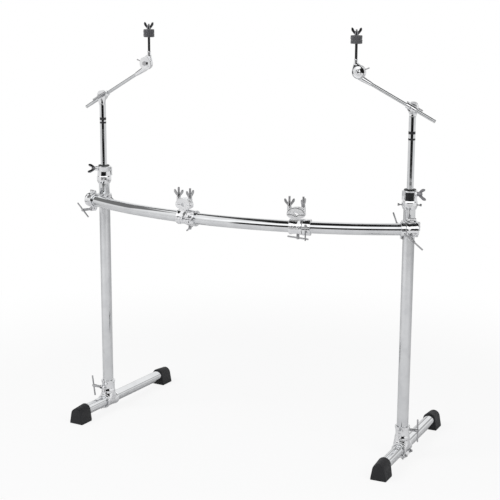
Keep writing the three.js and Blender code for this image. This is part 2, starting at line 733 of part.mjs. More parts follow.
function topWingScrew() {
  const tip = BUSHING_RADIUS + 2 * FIT;
  const seat = WING_BOSS_REACH + FIT;
  const shank = rodBetween(WING_SCREW_SHANK_RADIUS, tip, seat + FIT);
  return join(shank, wingHead(CLAMP_WING_SPAN, CLAMP_WING_HEIGHT).translate(0, 0, seat));
}

function hubScrewHole() {
  return rod(boreAround(SHANK_RADIUS + FIT), 2 * ROD_OFFSET, BORE_SIDES).rotateX(Math.PI / 2);
}

// Boom tube with the fixed ear of its hub, from the hub's centre: the ear widens from the neck to a disc
function boomPost() {
  const top = -HUB_NECK_DROP;
  const neck = revolve(
    [
      [0, top - HUB_NECK_TAPER],
      [BOOM_TUBE_RADIUS, top - HUB_NECK_TAPER],
      [BOOM_TUBE_RADIUS, top],
      [BOOM_TUBE_RADIUS - HUB_SEAM_DEPTH, top],
      [BOOM_TUBE_RADIUS - HUB_SEAM_DEPTH, top + HUB_SEAM_WIDTH],
      [BOOM_TUBE_RADIUS, top + HUB_SEAM_WIDTH],
      [HUB_EAR_THICKNESS, -HUB_RADIUS / 2],
      [0, -HUB_RADIUS / 2],
    ],
    TUBE_SIDES,
  );
  const outline = dropShape(HUB_RADIUS, BOOM_TUBE_RADIUS - HUB_SEAM_DEPTH, HUB_NECK_DROP, -Math.PI / 2);
  const ear = turnTo(plate(outline, HUB_EAR_THICKNESS), X_AXIS, Z_AXIS)
    .translate(0, (HUB_EAR_THICKNESS + FIT) / 2, 0);
  const foot = rodBetween(BOOM_TUBE_RADIUS, 2 * top, top).translate(0, 0, -HUB_SEAM_WIDTH);
  const earEnd = block(-HUB_RADIUS, HUB_RADIUS, -HUB_RADIUS, HUB_RADIUS, 2 * top, top);
  const neckBottom = top - HUB_NECK_TAPER / 2;
  const wall = tube(BOOM_TUBE_RADIUS, BOOM_TUBE_RADIUS - BOOM_TUBE_WALL, -BOOM_TUBE_LENGTH, neckBottom);
  const turning = rodBetween(HUB_RADIUS + 2 * RUNNING_GAP, -HUB_RADIUS, FIT / 2, TUBE_SIDES)
    .rotateX(-Math.PI / 2);
  const upper = cut(ear, cut(earEnd, foot));
  return join(cut(join(neck, upper), turning, hubScrewHole()), wall);
}

// Turning half of the hub: a disc with the rod's clamp across its front, along X
function hubClamp() {
  const disc = rodBetween(HUB_RADIUS, RUNNING_GAP / 2, ROD_OFFSET - ROD_RADIUS, TUBE_SIDES)
    .rotateX(Math.PI / 2);
  const sleeve = rodBetween(ROD_CLAMP_RADIUS, -ROD_CLAMP_INNER_END, ROD_CLAMP_OUTER_END, TUBE_SIDES)
    .rotateY(Math.PI / 2)
    .translate(0, -ROD_OFFSET, 0);
  const clampFace = -ROD_OFFSET - ROD_CLAMP_RADIUS;
  const front = block(-HUB_RADIUS, HUB_RADIUS, clampFace, -RUNNING_GAP / 2, -HUB_RADIUS, HUB_RADIUS);
  const bore = rod(ROD_BORE_RADIUS, 4 * ROD_CLAMP_OUTER_END, BORE_SIDES)
    .rotateY(Math.PI / 2)
    .translate(0, -ROD_OFFSET, 0);
  const trimmed = overlapOf(sleeve, join(front, front.clone().translate(HUB_RADIUS, 0, 0)));
  return cut(join(disc, trimmed), bore, hubScrewHole());
}

// Boom rod with the fixed half of the tilter, from the hub's centre: the rod runs to -X
function boomRod() {
  const solid = revolve(
    [
      [0, -TILTER_REACH],
      [ROD_RADIUS, -TILTER_REACH],
      [ROD_RADIUS, ROD_TAIL - 3 * TAIL_BAND_WIDTH],
      [ROD_RADIUS - TAIL_BAND_DEPTH, ROD_TAIL - 3 * TAIL_BAND_WIDTH],
      [ROD_RADIUS - TAIL_BAND_DEPTH, ROD_TAIL - 2 * TAIL_BAND_WIDTH],
      [ROD_RADIUS, ROD_TAIL - 2 * TAIL_BAND_WIDTH],
      [ROD_RADIUS, ROD_TAIL - TAIL_BAND_DEPTH],
      [ROD_RADIUS - TAIL_BAND_DEPTH, ROD_TAIL],
      [0, ROD_TAIL],
    ],
    TUBE_SIDES,
  ).rotateY(Math.PI / 2);
  const socketStart = -TILTER_REACH + TILTER_RADIUS + TILTER_SOCKET_LENGTH;
  const socket = revolve(
    [
      [0, -TILTER_REACH],
      [TILTER_SOCKET_RADIUS, -TILTER_REACH],
      [TILTER_SOCKET_RADIUS, socketStart - TILTER_SOCKET_LENGTH],
      [ROD_RADIUS + TAIL_BAND_DEPTH, socketStart],
      [0, socketStart],
    ],
    TUBE_SIDES,
  ).rotateY(Math.PI / 2);
  const lift = (geometry) => geometry.translate(-TILTER_REACH, 0, TILTER_RISE);
  const ear = lift(rodBetween(TILTER_RADIUS, FIT / 2, TILTER_THICKNESS, BORE_SIDES).rotateX(-Math.PI / 2));
  const rear = lift(
    rodBetween(TILTER_BOSS_RADIUS, TILTER_THICKNESS - FIT, TILTER_THICKNESS + 2 * TILTER_BOSS_HEIGHT, 6)
      .rotateX(-Math.PI / 2),
  );
  const stub = lift(
    rodBetween(TILTER_STUB_RADIUS, TILTER_RADIUS / 2, TILTER_STUB_REACH)
      .rotateY(Math.PI / 2)
      .rotateY(-radians(TILTER_STUB_ANGLE))
      .translate(0, TILTER_THICKNESS / 2, 0),
  );
  const turning = lift(
    rodBetween(TILTER_RADIUS + 2 * RUNNING_GAP, -2 * TILTER_RADIUS, FIT / 2, BORE_SIDES).rotateX(-Math.PI / 2),
  );
  return join(cut(join(solid, socket, ear), turning), rear, stub);
}

// Turning half of the tilter with the cymbal rod, from the tilter's centre
function tilterHead() {
  const reach = Math.hypot(SEAT_OFFSET, SEAT_ARM_RISE);
  const direction = Math.atan2(SEAT_ARM_RISE, -SEAT_OFFSET);
  const radius = TILTER_RADIUS - RUNNING_GAP;
  const body = turnTo(
    plate(dropShape(radius, SEAT_ARM_RADIUS, reach, direction), TILTER_THICKNESS, 10),
    X_AXIS,
    Z_AXIS,
  );
  const groove = tube(
    radius - TILTER_RIM_WIDTH,
    TILTER_BOSS_RADIUS + TILTER_RIM_WIDTH / 2,
    TILTER_THICKNESS / 2 - TILTER_RIM_DEPTH,
    TILTER_THICKNESS,
    BORE_SIDES,
  ).rotateX(Math.PI / 2);
  const boss = revolve(
    [
      [0, 0],
      [TILTER_BOSS_RADIUS, 0],
      [TILTER_BOSS_RADIUS, TILTER_THICKNESS / 2],
      [TILTER_BOSS_RADIUS / 2, TILTER_THICKNESS / 2 + TILTER_BOSS_HEIGHT],
      [0, TILTER_THICKNESS / 2 + TILTER_BOSS_HEIGHT],
    ],
    ROD_SIDES,
  ).rotateX(Math.PI / 2);
  const thread = FELT_BOTTOM + FELT_STACK;
  const seatRod = revolve(
    [
      [0, SEAT_ARM_RISE],
      [SEAT_COLLAR_RADIUS, SEAT_ARM_RISE],
      [SEAT_COLLAR_RADIUS, SEAT_COLLAR_TOP - TILTER_RIM_WIDTH],
      [SLEEVE_RADIUS, SEAT_COLLAR_TOP],
      [SLEEVE_RADIUS, thread],
      [SEAT_THREAD_RADIUS, thread],
      [SEAT_THREAD_RADIUS, SEAT_THREAD_TOP],
      [0, SEAT_THREAD_TOP],
    ],
    ROD_SIDES,
  ).translate(-SEAT_OFFSET, 0, 0);
  return join(cut(body, groove), boss, seatRod).translate(0, -(TILTER_THICKNESS + RUNNING_GAP) / 2, 0);
}

// Cymbal felts, pressed together on the sleeve
function felts() {
  const bore = SLEEVE_RADIUS + FIT;
  const middle = FELT_STACK / 2;
  return revolve(
    [
      [bore, 0],
      [FELT_RADIUS - FELT_ROUNDING, 0],
      [FELT_RADIUS, FELT_ROUNDING],
      [FELT_RADIUS, middle - FELT_ROUNDING / 2],
      [FELT_RADIUS - FELT_ROUNDING / 2, middle],
      [FELT_RADIUS, middle + FELT_ROUNDING / 2],
      [FELT_RADIUS, FELT_STACK - FELT_ROUNDING],
      [FELT_RADIUS - FELT_ROUNDING, FELT_STACK],
      [bore, FELT_STACK],
      [bore, 0],
    ],
    TUBE_SIDES,
  );
}

// Holder clamp, from the bar's axis: upper half of the bar jaw, neck, lower grip and its two studs
const HOLDER_HINGE_SIDE = new THREE.Vector3(0, -1, 0);
const HOLDER_BODY_SIDE = new THREE.Vector3(0, 0, 1);

function gripHalf(rise, sense) {
  const shape = new THREE.Shape();
  shape.absellipse(0, 0, GRIP_WIDTH / 2, rise, 0, Math.PI, false, 0);
  const settings = { depth: GRIP_DEPTH, bevelEnabled: false, curveSegments: 20 };
  const solid = new THREE.ExtrudeGeometry(shape, settings).translate(0, 0, -GRIP_DEPTH / 2);
  const half = GRIP_NOTCH_WIDTH / 2;
  const notch = new THREE.Shape([
    new THREE.Vector2(-half, 0),
    new THREE.Vector2(-half, -OVERRUN),
    new THREE.Vector2(half, -OVERRUN),
    new THREE.Vector2(half, 0),
    new THREE.Vector2(0, GRIP_NOTCH_DEPTH),
  ].reverse());
  const turned = cut(solid, plate(notch, 2 * GRIP_DEPTH)).rotateX(Math.PI / 2);
  return sense > 0 ? turned : turned.rotateX(Math.PI);
}

function holderBody() {
  const lower = gripHalf(LOWER_GRIP_DEPTH, -1).translate(0, 0, GRIP_SPLIT_HEIGHT);
  const neck = block(
    -GRIP_NECK_WIDTH / 2,
    GRIP_NECK_WIDTH / 2,
    -GRIP_DEPTH / 2,
    GRIP_DEPTH / 2,
    0,
    GRIP_SPLIT_HEIGHT - LOWER_GRIP_DEPTH / 2,
  );
  const studs = [-1, 1].map((side) =>
    rodBetween(GRIP_STUD_RADIUS, GRIP_SPLIT_HEIGHT - GRIP_NOTCH_DEPTH, GRIP_STUD_TOP).translate(
      (side * GRIP_STUD_SPACING) / 2,
      0,
      0,
    ),
  );
  const bore = jawBore(2 * HOLDER_JAW_WIDTH).rotateY(Math.PI / 2);
  const jaw = turnTo(jawBodyHalf(HOLDER_JAW_WIDTH), HOLDER_HINGE_SIDE, HOLDER_BODY_SIDE);
  return join(jaw, cut(join(neck, lower), bore), ...studs);
}

function upperGrip() {
  const bosses = [-1, 1].map((side) =>
    rodBetween(GRIP_BOSS_RADIUS, UPPER_GRIP_RISE / 3, GRIP_BOSS_RISE)
      .translate((side * GRIP_STUD_SPACING) / 2, 0, 0),
  );
  const holes = [-1, 1].map((side) =>
    rod(GRIP_STUD_RADIUS + FIT, 4 * GRIP_BOSS_RISE).translate((side * GRIP_STUD_SPACING) / 2, 0, 0),
  );
  return cut(join(gripHalf(UPPER_GRIP_RISE, 1), ...bosses), ...holes);
}

// The scene graph
function mesh(name, geometry, finish, parent, position = [0, 0, 0]) {
  const piece = new THREE.Mesh(geometry, new THREE.MeshStandardMaterial(finish));
  piece.name = name;
  piece.position.set(...position);
  parent.add(piece);
  return piece;
}

function group(parent, position = [0, 0, 0], turnZ = 0) {
  const made = new THREE.Group();
  made.position.set(...position);
  made.rotation.z = turnZ;
  parent.add(made);
  return made;
}

// A group whose own X points at a jaw's hinge and whose own Y points at the clamp's half
function jawGroup(parent, position, hingeSide, bodySide) {
  const made = group(parent, position);
  const along = new THREE.Vector3().crossVectors(hingeSide, bodySide);
  made.quaternion.setFromRotationMatrix(new THREE.Matrix4().makeBasis(hingeSide, bodySide, along));
  return made;
}

function jawFittings(parent, name, width, screwTilt) {
  mesh(name + "_cap", jawCap(width), castChrome, parent, [HINGE_OFFSET, 0, 0]);
  const screw = mesh(name + "_t_screw", jawScrew(), chrome, parent, [-SCREW_OFFSET, 0, 0]);
  screw.rotation.y = radians(screwTilt);
}

// A place on the bar: its own X runs along the bar to the right, -Y points away from the bend's centre
function onBar(parent, angle, radius = BAR_BEND_RADIUS) {
  const turned = group(parent, [0, BEND_CENTRE_Y, BAR_HEIGHT], angle);
  return group(turned, [0, -radius, 0]);
}

function addCorner(parent, side, sign) {
  const name = side + "_corner";
  const place = onBar(parent, sign * CORNER_ANGLE, POST_RING_RADIUS);
  mesh(name + "_clamp", cornerBody(), castChrome, place);
  const barJaw = jawGroup(place, [0, -CROSSING_DISTANCE, 0], Z_AXIS, Y_AXIS);
  jawFittings(barJaw, name + "_bar", JAW_WIDTH, BAR_SCREW_TILTS[side]);
  const postJaw = jawGroup(place, [0, 0, 0], X_AXIS, Y_AXIS.clone().negate());
  jawFittings(postJaw, name + "_post", JAW_WIDTH, POST_SCREW_TILTS[side]);
}

// Only the right corner has a stop ring of its own
function addCornerRing(parent) {
  const offset = (JAW_WIDTH + CORNER_RING_WIDTH) / 2 + RING_GAP;
  const place = onBar(parent, CORNER_ANGLE - offset / BAR_BEND_RADIUS);
  const cornerRing = stopRing(CORNER_RING_WIDTH, CORNER_RING_RADIUS, KEY_BOLT_TAIL, 0);
  mesh("right_corner_stop_ring", cornerRing, castChrome, place);
}

function addLeg(post, side) {
  const place = group(post, [0, 0, FOOT_AXIS_HEIGHT], radians(SIDE_TURNS[side] + FOOT_SWINGS[side]));
  mesh(side + "_leg_clamp", legClamp(), castChrome, place);
  const jaw = jawGroup(place, [0, 0, LEG_JAW_CENTRE], LEG_HINGE_SIDE, LEG_BODY_SIDE);
  jawFittings(jaw, side + "_leg", LEG_JAW_WIDTH, LEG_SCREW_TILTS[side]);
  const foot = group(place, [0, FOOT_SHIFTS[side], 0]);
  const half = FOOT_TUBE_LENGTH / 2;
  mesh(
    side + "_foot_tube",
    tube(TUBE_RADIUS, TUBE_BORE_RADIUS, -half, half).rotateX(Math.PI / 2),
    chrome,
    foot,
  );
  const capCentre = half + FIT + FOOT_CAP_LENGTH / 2 - FOOT_CAP_OVERLAP;
  const towardsFront = side === "right" ? -1 : 1;
  const front = mesh(side + "_front_foot", rubberFoot(), blackRubber, foot, [0, towardsFront * capCentre, 0]);
  const rear = mesh(side + "_rear_foot", rubberFoot(), blackRubber, foot, [0, -towardsFront * capCentre, 0]);
  front.rotation.z = towardsFront > 0 ? Math.PI : 0;
  rear.rotation.z = towardsFront > 0 ? 0 : Math.PI;
}

// Post: a tube with a slot down from its top end, which stops in a round hole below the collar
function postTube() {
  const bottom = FOOT_AXIS_HEIGHT + LEG_JAW_CENTRE - LEG_JAW_WIDTH / 2;
  const half = POST_SLOT_WIDTH / 2;
  const slotEnd = POST_TOP_HEIGHT - POST_SLOT_DEPTH;
  const slot = block(0, TUBE_DIAMETER, -half, half, slotEnd, POST_TOP_HEIGHT + OVERRUN);
  const hole = rodBetween(POST_SLOT_END_RADIUS, 0, TUBE_DIAMETER).rotateY(Math.PI / 2).translate(0, 0, slotEnd);
  const turn = (geometry) => geometry.rotateZ(radians(POST_SLOT_ANGLE));
  return cut(tube(TUBE_RADIUS, TUBE_BORE_RADIUS, bottom, POST_TOP_HEIGHT), turn(slot), turn(hole));
}

function addPost(rack, side, sign) {
  const post = group(rack, [(sign * POST_SPACING) / 2, 0, 0]);
  mesh(side + "_post", postTube(), chrome, post);
  const top = group(post, [0, 0, POST_TOP_HEIGHT], radians(TOP_CLAMP_TURNS[side]));
  mesh(side + "_boom_clamp", postTopClamp(SET_BOLT_TURNS[side]), castChrome, top);
  mesh(side + "_boom_clamp_bushing", bushing(), blackNylon, top);
  const screwPlace = group(top, [0, 0, WING_BOSS_HEIGHT]);
  screwPlace.rotation.y = Math.PI / 2;
  const screw = mesh(side + "_boom_clamp_wing_screw", topWingScrew(), chrome, screwPlace);
  screw.rotation.z = radians(CLAMP_WING_TURNS[side]);
  return post;
}

function addBoom(post, side) {
  const hub = group(post, [0, 0, HUB_HEIGHTS[side]], radians(SIDE_TURNS[side]));
  mesh(side + "_boom_tube", boomPost(), chrome, hub);
  const tilted = group(hub);
  tilted.rotation.y = radians(BOOM_ANGLES[side]);
  mesh(side + "_boom_hub_clamp", hubClamp(), castChrome, tilted);
  mesh(side + "_boom_hub_t_screw", hubScrew(), chrome, tilted);
  const rodLine = group(tilted, [0, -ROD_OFFSET, 0]);
  mesh(side + "_boom_rod", boomRod(), chrome, rodLine);
  const tilter = group(rodLine, [-TILTER_REACH, 0, TILTER_RISE]);
  tilter.rotation.y = -radians(BOOM_ANGLES[side]);
  mesh(side + "_tilter_head", tilterHead(), castChrome, tilter);
  const seatY = -(TILTER_THICKNESS + RUNNING_GAP) / 2;
  mesh(side + "_cymbal_felts", felts(), greyFelt, tilter, [-SEAT_OFFSET, seatY, FELT_BOTTOM]);
  const nutHeight = FELT_BOTTOM + FELT_STACK + FIT;
  const nutPlace = [-SEAT_OFFSET, seatY, nutHeight];
  const nut = mesh(side + "_cymbal_wing_nut", wingNut(SEAT_THREAD_RADIUS), chrome, tilter, nutPlace);
  nut.rotation.z = radians(WING_TURNS[side]);
}

function addHolder(rack, side) {
  const angle = radians(HOLDER_ANGLES[side]);
  const name = side + "_holder";
  const place = onBar(rack, angle);
  mesh(name + "_clamp", holderBody(), castChrome, place);
  const jaw = jawGroup(place, [0, 0, 0], HOLDER_HINGE_SIDE, HOLDER_BODY_SIDE);
  jawFittings(jaw, name + "_bar", HOLDER_JAW_WIDTH, HOLDER_SCREW_TILTS[side]);
  const gripBottom = GRIP_SPLIT_HEIGHT + GRIP_GAP;
  mesh(name + "_upper_grip", upperGrip(), castChrome, place, [0, 0, gripBottom]);
  ["left", "right"].forEach((end, index) => {
    const x = (index - 1 / 2) * GRIP_STUD_SPACING;
    const seat = gripBottom + GRIP_BOSS_RISE + FIT;
    const nut = mesh(name + "_" + end + "_wing_nut", wingNut(GRIP_STUD_RADIUS), chrome, place, [x, 0, seat]);
    nut.rotation.z = radians(index === 0 ? WING_TURNS[side] : REAR_WING_TURN);
  });
  const offset = (HOLDER_JAW_WIDTH + HOLDER_RING_WIDTH) / 2 + RING_GAP;
  const ringPlace = onBar(rack, angle + offset / BAR_BEND_RADIUS);
  const ring = stopRing(HOLDER_RING_WIDTH, HOLDER_RING_RADIUS, RING_BOLT_TAILS[side], HOLDER_RING_TURNS[side]);
  mesh(name + "_stop_ring", ring, castChrome, ringPlace);
}

const rack = new THREE.Group();
const bend = group(rack, [0, BEND_CENTRE_Y, BAR_HEIGHT]);
mesh("curved_bar", curvedBar(), chrome, bend);
addCornerRing(rack);
for (const [side, sign] of [["left", -1], ["right", 1]]) {
  addCorner(rack, side, sign);
  const post = addPost(rack, side, sign);
  addLeg(post, side);
  addBoom(post, side);
  addHolder(rack, side);
}

// The origin is on the floor, under the middle of the rack's own box
rack.updateMatrixWorld(true);
const extent = new THREE.Box3().setFromObject(rack, true);
const middle = extent.getCenter(new THREE.Vector3());
const part = new THREE.Group();
part.add(rack);
rack.position.set(-middle.x, -middle.y, -extent.min.z);

export default part;
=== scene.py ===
"""Looks of a free-standing drum rack frame: chromed tubes, cast clamps, rubber feet and two boom arms."""

import math

import bmesh
import bpy
import numpy as np
from mathutils import Matrix, Vector


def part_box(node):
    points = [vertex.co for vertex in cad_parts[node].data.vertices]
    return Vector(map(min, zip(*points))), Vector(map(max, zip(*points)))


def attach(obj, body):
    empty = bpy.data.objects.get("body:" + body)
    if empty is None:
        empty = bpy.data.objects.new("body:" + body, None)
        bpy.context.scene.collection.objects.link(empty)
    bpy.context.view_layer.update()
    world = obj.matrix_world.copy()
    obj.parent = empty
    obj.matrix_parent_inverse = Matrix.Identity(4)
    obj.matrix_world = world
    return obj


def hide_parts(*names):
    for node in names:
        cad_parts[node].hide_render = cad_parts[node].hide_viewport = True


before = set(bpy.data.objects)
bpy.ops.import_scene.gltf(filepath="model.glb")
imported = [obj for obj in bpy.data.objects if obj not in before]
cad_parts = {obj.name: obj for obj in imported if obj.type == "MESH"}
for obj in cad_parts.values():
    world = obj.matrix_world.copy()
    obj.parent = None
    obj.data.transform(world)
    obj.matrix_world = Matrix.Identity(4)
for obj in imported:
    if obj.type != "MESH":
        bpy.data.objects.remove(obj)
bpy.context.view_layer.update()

# Foot bars: two straight lengths of 38 mm steel tube with a 2 mm wall, cut square, polished and chromed.
# Each one slides in the eye of its leg clamp, and the whole rack stands on the pair.
MM = 0.001
SIDES = ("left", "right")
TUBE_RADIUS = 19.05
TUBE_WALL = 2.0
TUBE_FACETS = 96
FOOT_BAR_LENGTH = 546.0
FOOT_AXIS_HEIGHT = 36.0
FOOT_SHIFTS = {"left": -91.0, "right": 61.0}
LEG_TURNS = {"left": 180 - 5.4, "right": -1.1}
CHROME_COLOUR = (0.79, 0.80, 0.81, 1)


def move(x, y, z):
    """The 4 x 4 matrix that shifts by (x, y, z) millimetres."""
    matrix = np.eye(4)
    matrix[:3, 3] = (x, y, z)
    return matrix


def turn(axis, degrees):
    """The 4 x 4 matrix of a right-handed turn about the X, Y or Z axis."""
    return np.array(Matrix.Rotation(math.radians(degrees), 4, axis))


def axes(x_to, y_to):
    """The 4 x 4 matrix that lays X along x_to, Y along y_to and Z along their cross product."""
    matrix = np.eye(4)
    matrix[:3, 0], matrix[:3, 1], matrix[:3, 2] = x_to, y_to, np.cross(x_to, y_to)
    return matrix


def put(shell, matrix):
    """A shell with every point p moved to matrix p."""
    points, quads, caps = shell
    return points @ matrix[:3, :3].T + matrix[:3, 3], quads, caps


def skin(grid, close_rows=False):
    """Quads between neighbours of a grid of points: its columns close round, and its rows too where asked."""
    rows, columns = grid.shape[:2]
    index = np.arange(rows * columns).reshape(rows, columns)
    if close_rows:
        index = np.vstack([index, index[:1]])
    beside = np.roll(index, -1, axis=1)
    quads = np.stack([index[:-1], beside[:-1], beside[1:], index[1:]], axis=-1)
    return grid.reshape(-1, 3), quads.reshape(-1, 4), []


def eased(profile, radius, steps=4, closed=False):
    """A polyline whose corners p give way to (1-t)^2 a + 2t(1-t) p + t^2 b, with a and b on its two sides.
    One more point beside each of a and b holds the straight side's shading flat up to the corner."""
    points = np.asarray(profile, float)
    before, after = np.roll(points, 1, axis=0) - points, np.roll(points, -1, axis=0) - points
    reach = np.minimum(np.linalg.norm(before, axis=1), np.linalg.norm(after, axis=1))
    share = np.minimum(radius, 0.4 * reach)[:, None]
    hold = share + np.minimum(radius / 2, 0.08 * reach)[:, None]
    before /= np.linalg.norm(before, axis=1, keepdims=True)
    after /= np.linalg.norm(after, axis=1, keepdims=True)
    a, b = points + before * share, points + after * share
    t = np.linspace(0, 1, steps + 1)[None, :, None]
    curve = (1 - t) ** 2 * a[:, None] + 2 * t * (1 - t) * points[:, None] + t**2 * b[:, None]
    first, last = points + before * hold, points + after * hold
    curve = np.concatenate([first[:, None], curve, last[:, None]], axis=1)
    if closed:
        return curve.reshape(-1, 2)
    return np.concatenate([points[:1], curve[1:-1].reshape(-1, 2), points[-1:]])


def spun(profile, facets=TUBE_FACETS, closed=False):
    """A turned shape: profile points (r, z) go to (r cos t, r sin t, z) for t over a full turn."""
    r, z = np.asarray(profile, float).T
    t = np.linspace(0, 2 * np.pi, facets, endpoint=False)
    grid = np.stack([np.outer(r, np.cos(t)), np.outer(r, np.sin(t)), np.outer(z, np.ones(facets))], axis=-1)
    return skin(grid, closed)


def pipe(outer, inner, low, high, edge=0.4, facets=TUBE_FACETS):
    """A tube along Z: a rectangle from radius inner to outer and low to high, with eased corners, spun."""
    profile = [(inner, low), (outer, low), (outer, high), (inner, high)]
    return spun(eased(profile, edge, closed=True), facets, closed=True)


def mesh_of(name, *shells):
    """One mesh in metres from closed shells in millimetres: equal points merged, faces turned outwards."""
    points, faces, start = [], [], 0
    for shell_points, quads, caps in shells:
        points.append(shell_points * MM)
        faces += (quads + start).tolist() + [(cap + start).tolist() for cap in caps]
        start += len(shell_points)
    mesh = bpy.data.meshes.new(name)
    mesh.from_pydata(np.concatenate(points), [], faces)
    work = bmesh.new()
    work.from_mesh(mesh)
    bmesh.ops.remove_doubles(work, verts=work.verts, dist=0.002 * MM)
    bmesh.ops.dissolve_degenerate(work, edges=work.edges, dist=0.001 * MM)
    bmesh.ops.recalc_face_normals(work, faces=work.faces)
    work.to_mesh(mesh)
    work.free()
    return mesh


def add_piece(name, mesh, place, body, material, *nodes, slot=None, crease=35):
    """Puts a copy of a mesh at its place in the rack, with its finish, and hands it to its body."""
    own = mesh.copy()
    matrix = Matrix(place.tolist())
    matrix.translation *= MM
    own.transform(matrix)
    own.materials.clear()
    own.materials.append(material)
    own.shade_smooth()
    own.set_sharp_from_angle(angle=math.radians(crease))
    piece = bpy.data.objects.new(name, own)
    bpy.context.scene.collection.objects.link(piece)
    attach(piece, body)
    if nodes:
        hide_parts(*nodes)
    return piece


def node_group(name, inputs, outputs):
    """A shader node group with float inputs and outputs, and the nodes at its two ends."""
    group = bpy.data.node_groups.new(name, "ShaderNodeTree")
    for socket, value in inputs.items():
        made = group.interface.new_socket(socket, in_out="INPUT", socket_type="NodeSocketFloat")
        made.default_value = value
    for socket in outputs:
        group.interface.new_socket(socket, in_out="OUTPUT", socket_type="NodeSocketFloat")
    start, end = group.nodes.new("NodeGroupInput"), group.nodes.new("NodeGroupOutput")
    return group, start, end


def add_node(tree, kind, settings=None, **inputs):
    """A node with its settings, and each input set to a value or linked from a socket."""
    node = tree.nodes.new(kind)
    for key, value in (settings or {}).items():
        setattr(node, key, value)
    for key, value in inputs.items():
        name = int(key[1:]) if key[0] == "_" else key.replace("_", " ")
        if isinstance(value, bpy.types.NodeSocket):
            tree.links.new(value, node.inputs[name])
        else:
            node.inputs[name].default_value = value
    return node


def maths(tree, operation, *values):
    """The result of one step of arithmetic on two or three values or sockets."""
    inputs = {f"_{index}": value for index, value in enumerate(values)}
    return add_node(tree, "ShaderNodeMath", {"operation": operation}, **inputs).outputs[0]


def ranged(tree, value, low, high, start, end, smooth=True):
    """The value's place from low to high as a place from start to end, eased at both ends where smooth."""
    settings = {"interpolation_type": "SMOOTHSTEP"} if smooth else None
    ends = {"From_Min": low, "From_Max": high, "To_Min": start, "To_Max": end}
    return add_node(tree, "ShaderNodeMapRange", settings, Value=value, **ends).outputs["Result"]


def noise(tree, scale, detail, roughness, distortion=0.0):
    """Cloudy noise on the piece's own coordinates."""
    place = add_node(tree, "ShaderNodeTexCoord").outputs["Object"]
    looks = {"Scale": scale, "Detail": detail, "Roughness": roughness, "Distortion": distortion}
    return add_node(tree, "ShaderNodeTexNoise", None, Vector=place, **looks).outputs["Fac"]


def mixed_colours(tree, share, first, second):
    """The first colour where the share is 0 and the second where it is 1."""
    return add_node(tree, "ShaderNodeMix", {"data_type": "RGBA"}, _0=share, _6=first, _7=second).outputs[2]


def new_material(name, metallic=0.0):
    """A material, its node tree and its surface shader."""
    material = bpy.data.materials.new(name)
    material.use_nodes = True
    shader = material.node_tree.nodes["Principled BSDF"]
    shader.inputs["Metallic"].default_value = metallic
    return material, material.node_tree, shader


def link_looks(tree, shader, colour, roughness, height, strength, depth):
    """Links a colour, a roughness where it varies, and the bump of a height (depth in metres) to a shader."""
    bump = add_node(tree, "ShaderNodeBump", None, Height=height, Strength=strength, Distance=depth)
    tree.links.new(colour, shader.inputs["Base Color"])
    if roughness is not None:
        tree.links.new(roughness, shader.inputs["Roughness"])
    tree.links.new(bump.outputs["Normal"], shader.inputs["Normal"])


# Handling marks on plated metal: broad cloudy smudges, and fine polishing lines crossed at random
SMUDGE_EDGES = (0.48, 0.72)
LINE_SHARE = 0.35
handling, start, end = node_group(
    "handling_marks",
    {"Smudge Scale": 22.0, "Line Scale": 420.0, "Amount": 1.0},
    ["Roughness", "Tone", "Height"],
)
smudge = noise(handling, start.outputs["Smudge Scale"], 5.0, 0.62, 0.6)
cloud = ranged(handling, smudge, *SMUDGE_EDGES, 0.0, 1.0)
lines = noise(handling, start.outputs["Line Scale"], 3.0, 0.5, 1.4)
both = maths(handling, "MULTIPLY_ADD", lines, LINE_SHARE, cloud)
scaled = maths(handling, "MULTIPLY", both, start.outputs["Amount"])
handling.links.new(scaled, end.inputs["Roughness"])
handling.links.new(smudge, end.inputs["Tone"])
handling.links.new(lines, end.inputs["Height"])

TONE_EDGES = (0.35, 0.75)
LINE_HEIGHT_SHARE = 0.02
WAVE_DEPTH = 0.4 * MM


def plated(name, colour, dull_colour, smooth, rough, wave, bump, amount=1.0, lines=420.0):
    """Plated metal: roughness runs from smooth to rough with the handling marks, over a faintly wavy face."""
    material, tree, shader = new_material(name, 1.0)
    group = add_node(tree, "ShaderNodeGroup", {"node_tree": handling}, Line_Scale=lines, Amount=amount)
    marks = group.outputs
    spread = ranged(tree, marks["Roughness"], 0.0, 1.0 + LINE_SHARE, smooth, rough, False)
    tone = ranged(tree, marks["Tone"], *TONE_EDGES, 0.0, 1.0)
    height = maths(tree, "MULTIPLY_ADD", marks["Height"], LINE_HEIGHT_SHARE, noise(tree, wave, 1.0, 0.4))
    link_looks(tree, shader, mixed_colours(tree, tone, colour, dull_colour), spread, height, bump, WAVE_DEPTH)
    return material


tube_chrome = plated(
    "tube_chrome", CHROME_COLOUR, (0.70, 0.71, 0.725, 1), smooth=0.035, rough=0.13, wave=45.0, bump=0.12
)

post_low, post_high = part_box("left_post")
far_low, far_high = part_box("right_post")
RACK = move(*(((post_low + post_high + far_low + far_high) / 4 / MM) * Vector((1, 1, 0))))
POST_SPACING = (far_low.x + far_high.x - post_low.x - post_high.x) / 2 / MM
posts = {side: RACK @ move(sign * POST_SPACING / 2, 0, 0) for side, sign in zip(SIDES, (-1, 1))}
legs = {side: posts[side] @ move(0, 0, FOOT_AXIS_HEIGHT) @ turn("Z", LEG_TURNS[side]) for side in SIDES}
feet = {side: legs[side] @ move(0, FOOT_SHIFTS[side], 0) for side in SIDES}

foot_bar = mesh_of(
    "foot_bar",
    put(pipe(TUBE_RADIUS, TUBE_RADIUS - TUBE_WALL, -FOOT_BAR_LENGTH / 2, FOOT_BAR_LENGTH / 2), turn("X", 90)),
)
for side in SIDES:
    add_piece(side + "_foot_bar", foot_bar, feet[side], side + "_foot", tube_chrome, side + "_foot_tube")

